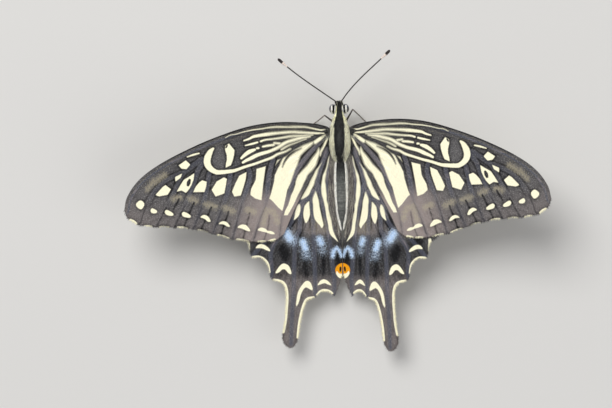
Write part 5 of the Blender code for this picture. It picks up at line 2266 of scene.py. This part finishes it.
@dataclass
class Butterfly:
    """The whole model."""

    fore_lift: float = -0.17
    hind_lift: float = 0.17
    hair_rise: float = 0.06

    def poses(self, side: Side) -> tuple[WingSet, WingSet]:
        """How the forewing and the hindwing of a side are held."""
        if side is Side.LEFT:
            return (WingSet(side, radians(10.0)), WingSet(side, radians(10.0), drop=0.85))
        return (WingSet(side, radians(16.0), turn=radians(-0.5)),
                WingSet(side, radians(16.0), turn=radians(2.5), shift=(0.45, 0.26),
                        tail_stretch=0.5, drop=0.85, close=0.5))

    def kinds(self) -> tuple[WingKind, WingKind]:
        """The forewing and the hindwing, drawn flat."""
        fore, hind = ForewingMarks(), HindwingMarks()
        fore_plan, hind_plan = fore.plan(), hind.plan()
        return (WingKind("forewing", fore, fore_plan, fore_plan.flat_mesh("forewing_plan"),
                         fore_plan.termen, self.fore_lift, 21),
                WingKind("hindwing", hind, hind_plan, hind.flat_mesh(hind_plan, "hindwing_plan"),
                         hind.whole_edge(), self.hind_lift, 31))

    def wings(self, hair: Material) -> None:
        """Builds four wings, their fringes and the hair at their bases."""
        upper = WingFinish("wing_upper").make()
        under = WingFinish("wing_under", ground=Tint(128, 118, 106), deep=Tint(62, 58, 58),
                           warm=Tint(170, 152, 128), vein=Tint(92, 90, 88),
                           cream=Tint(244, 238, 206), haze=Tint(104, 98, 94), widen=0.12,
                           vein_line=0.16, vein_dark=0.35).make()
        fold = HairFinish("wing_fold_hair", black=Tint(58, 53, 56), pale=Tint(240, 235, 220),
                          gold=Tint(232, 226, 200), ash=Tint(126, 117, 119)).make()
        fore, hind = self.kinds()
        for side in Side:
            fore_pose, hind_pose = self.poses(side)
            fore.sheet(fore_pose, upper, under)
            hind.sheet(hind_pose, upper, under)
            fore.fringe(fore_pose, upper)
            hind.fringe(hind_pose, upper)
            WingBaseHair(side, fore_pose, hind_pose, self.fore_lift + self.hair_rise,
                         self.hind_lift + self.hair_rise, 41 + side.value).build(
                             fore.plan, hind.plan, hair, fold)
        for kind in (fore, hind):
            bpy.data.meshes.remove(kind.flat)

    def head(self, hair: Material) -> None:
        """Builds eyes, feelers and mouthparts."""
        eye = EyeFinish("compound_eye").make()
        shaft = CuticleFinish("feeler_cuticle", dark=Tint(40, 33, 31),
                              light=Tint(248, 230, 216)).make()
        coil = CuticleFinish("proboscis_cuticle", dark=Tint(52, 36, 26), light=Tint(140, 96, 60),
                             roughness=0.35).make()
        mouth = Mouthparts()
        for side in Side:
            Eye(side).dome(eye)
            Eye(side).rim(hair, 51 + side.value)
            mouth.palp_skin(side, hair)
            mouth.palp_hair(side, hair, 61 + side.value)
        Antenna(Side.LEFT, radians(52.0), radians(54.0), radians(46.0)).build(shaft)
        Antenna(Side.RIGHT, radians(45.9), radians(35.0), radians(47.0)).build(shaft)
        mouth.proboscis(coil)

    def legs(self) -> None:
        """Builds six legs."""
        finish = CuticleFinish("leg_cuticle", dark=Tint(72, 64, 66), light=Tint(206, 194, 178),
                               roughness=0.5).make()
        for stance in Stance:
            Leg(stance.label, stance.side, stance.value).build(finish)

    def build(self) -> None:
        """Builds every piece."""
        hair = HairFinish("body_hair_finish").make()
        Torso().build(hair)
        self.wings(hair)
        self.head(hair)
        self.legs()


def main() -> None:
    """Builds the studio and the butterfly."""
    logging.basicConfig(level=logging.INFO, format="%(name)s: %(message)s")
    Studio().build()
    Butterfly().build()


if __name__ == "__main__":
    main()
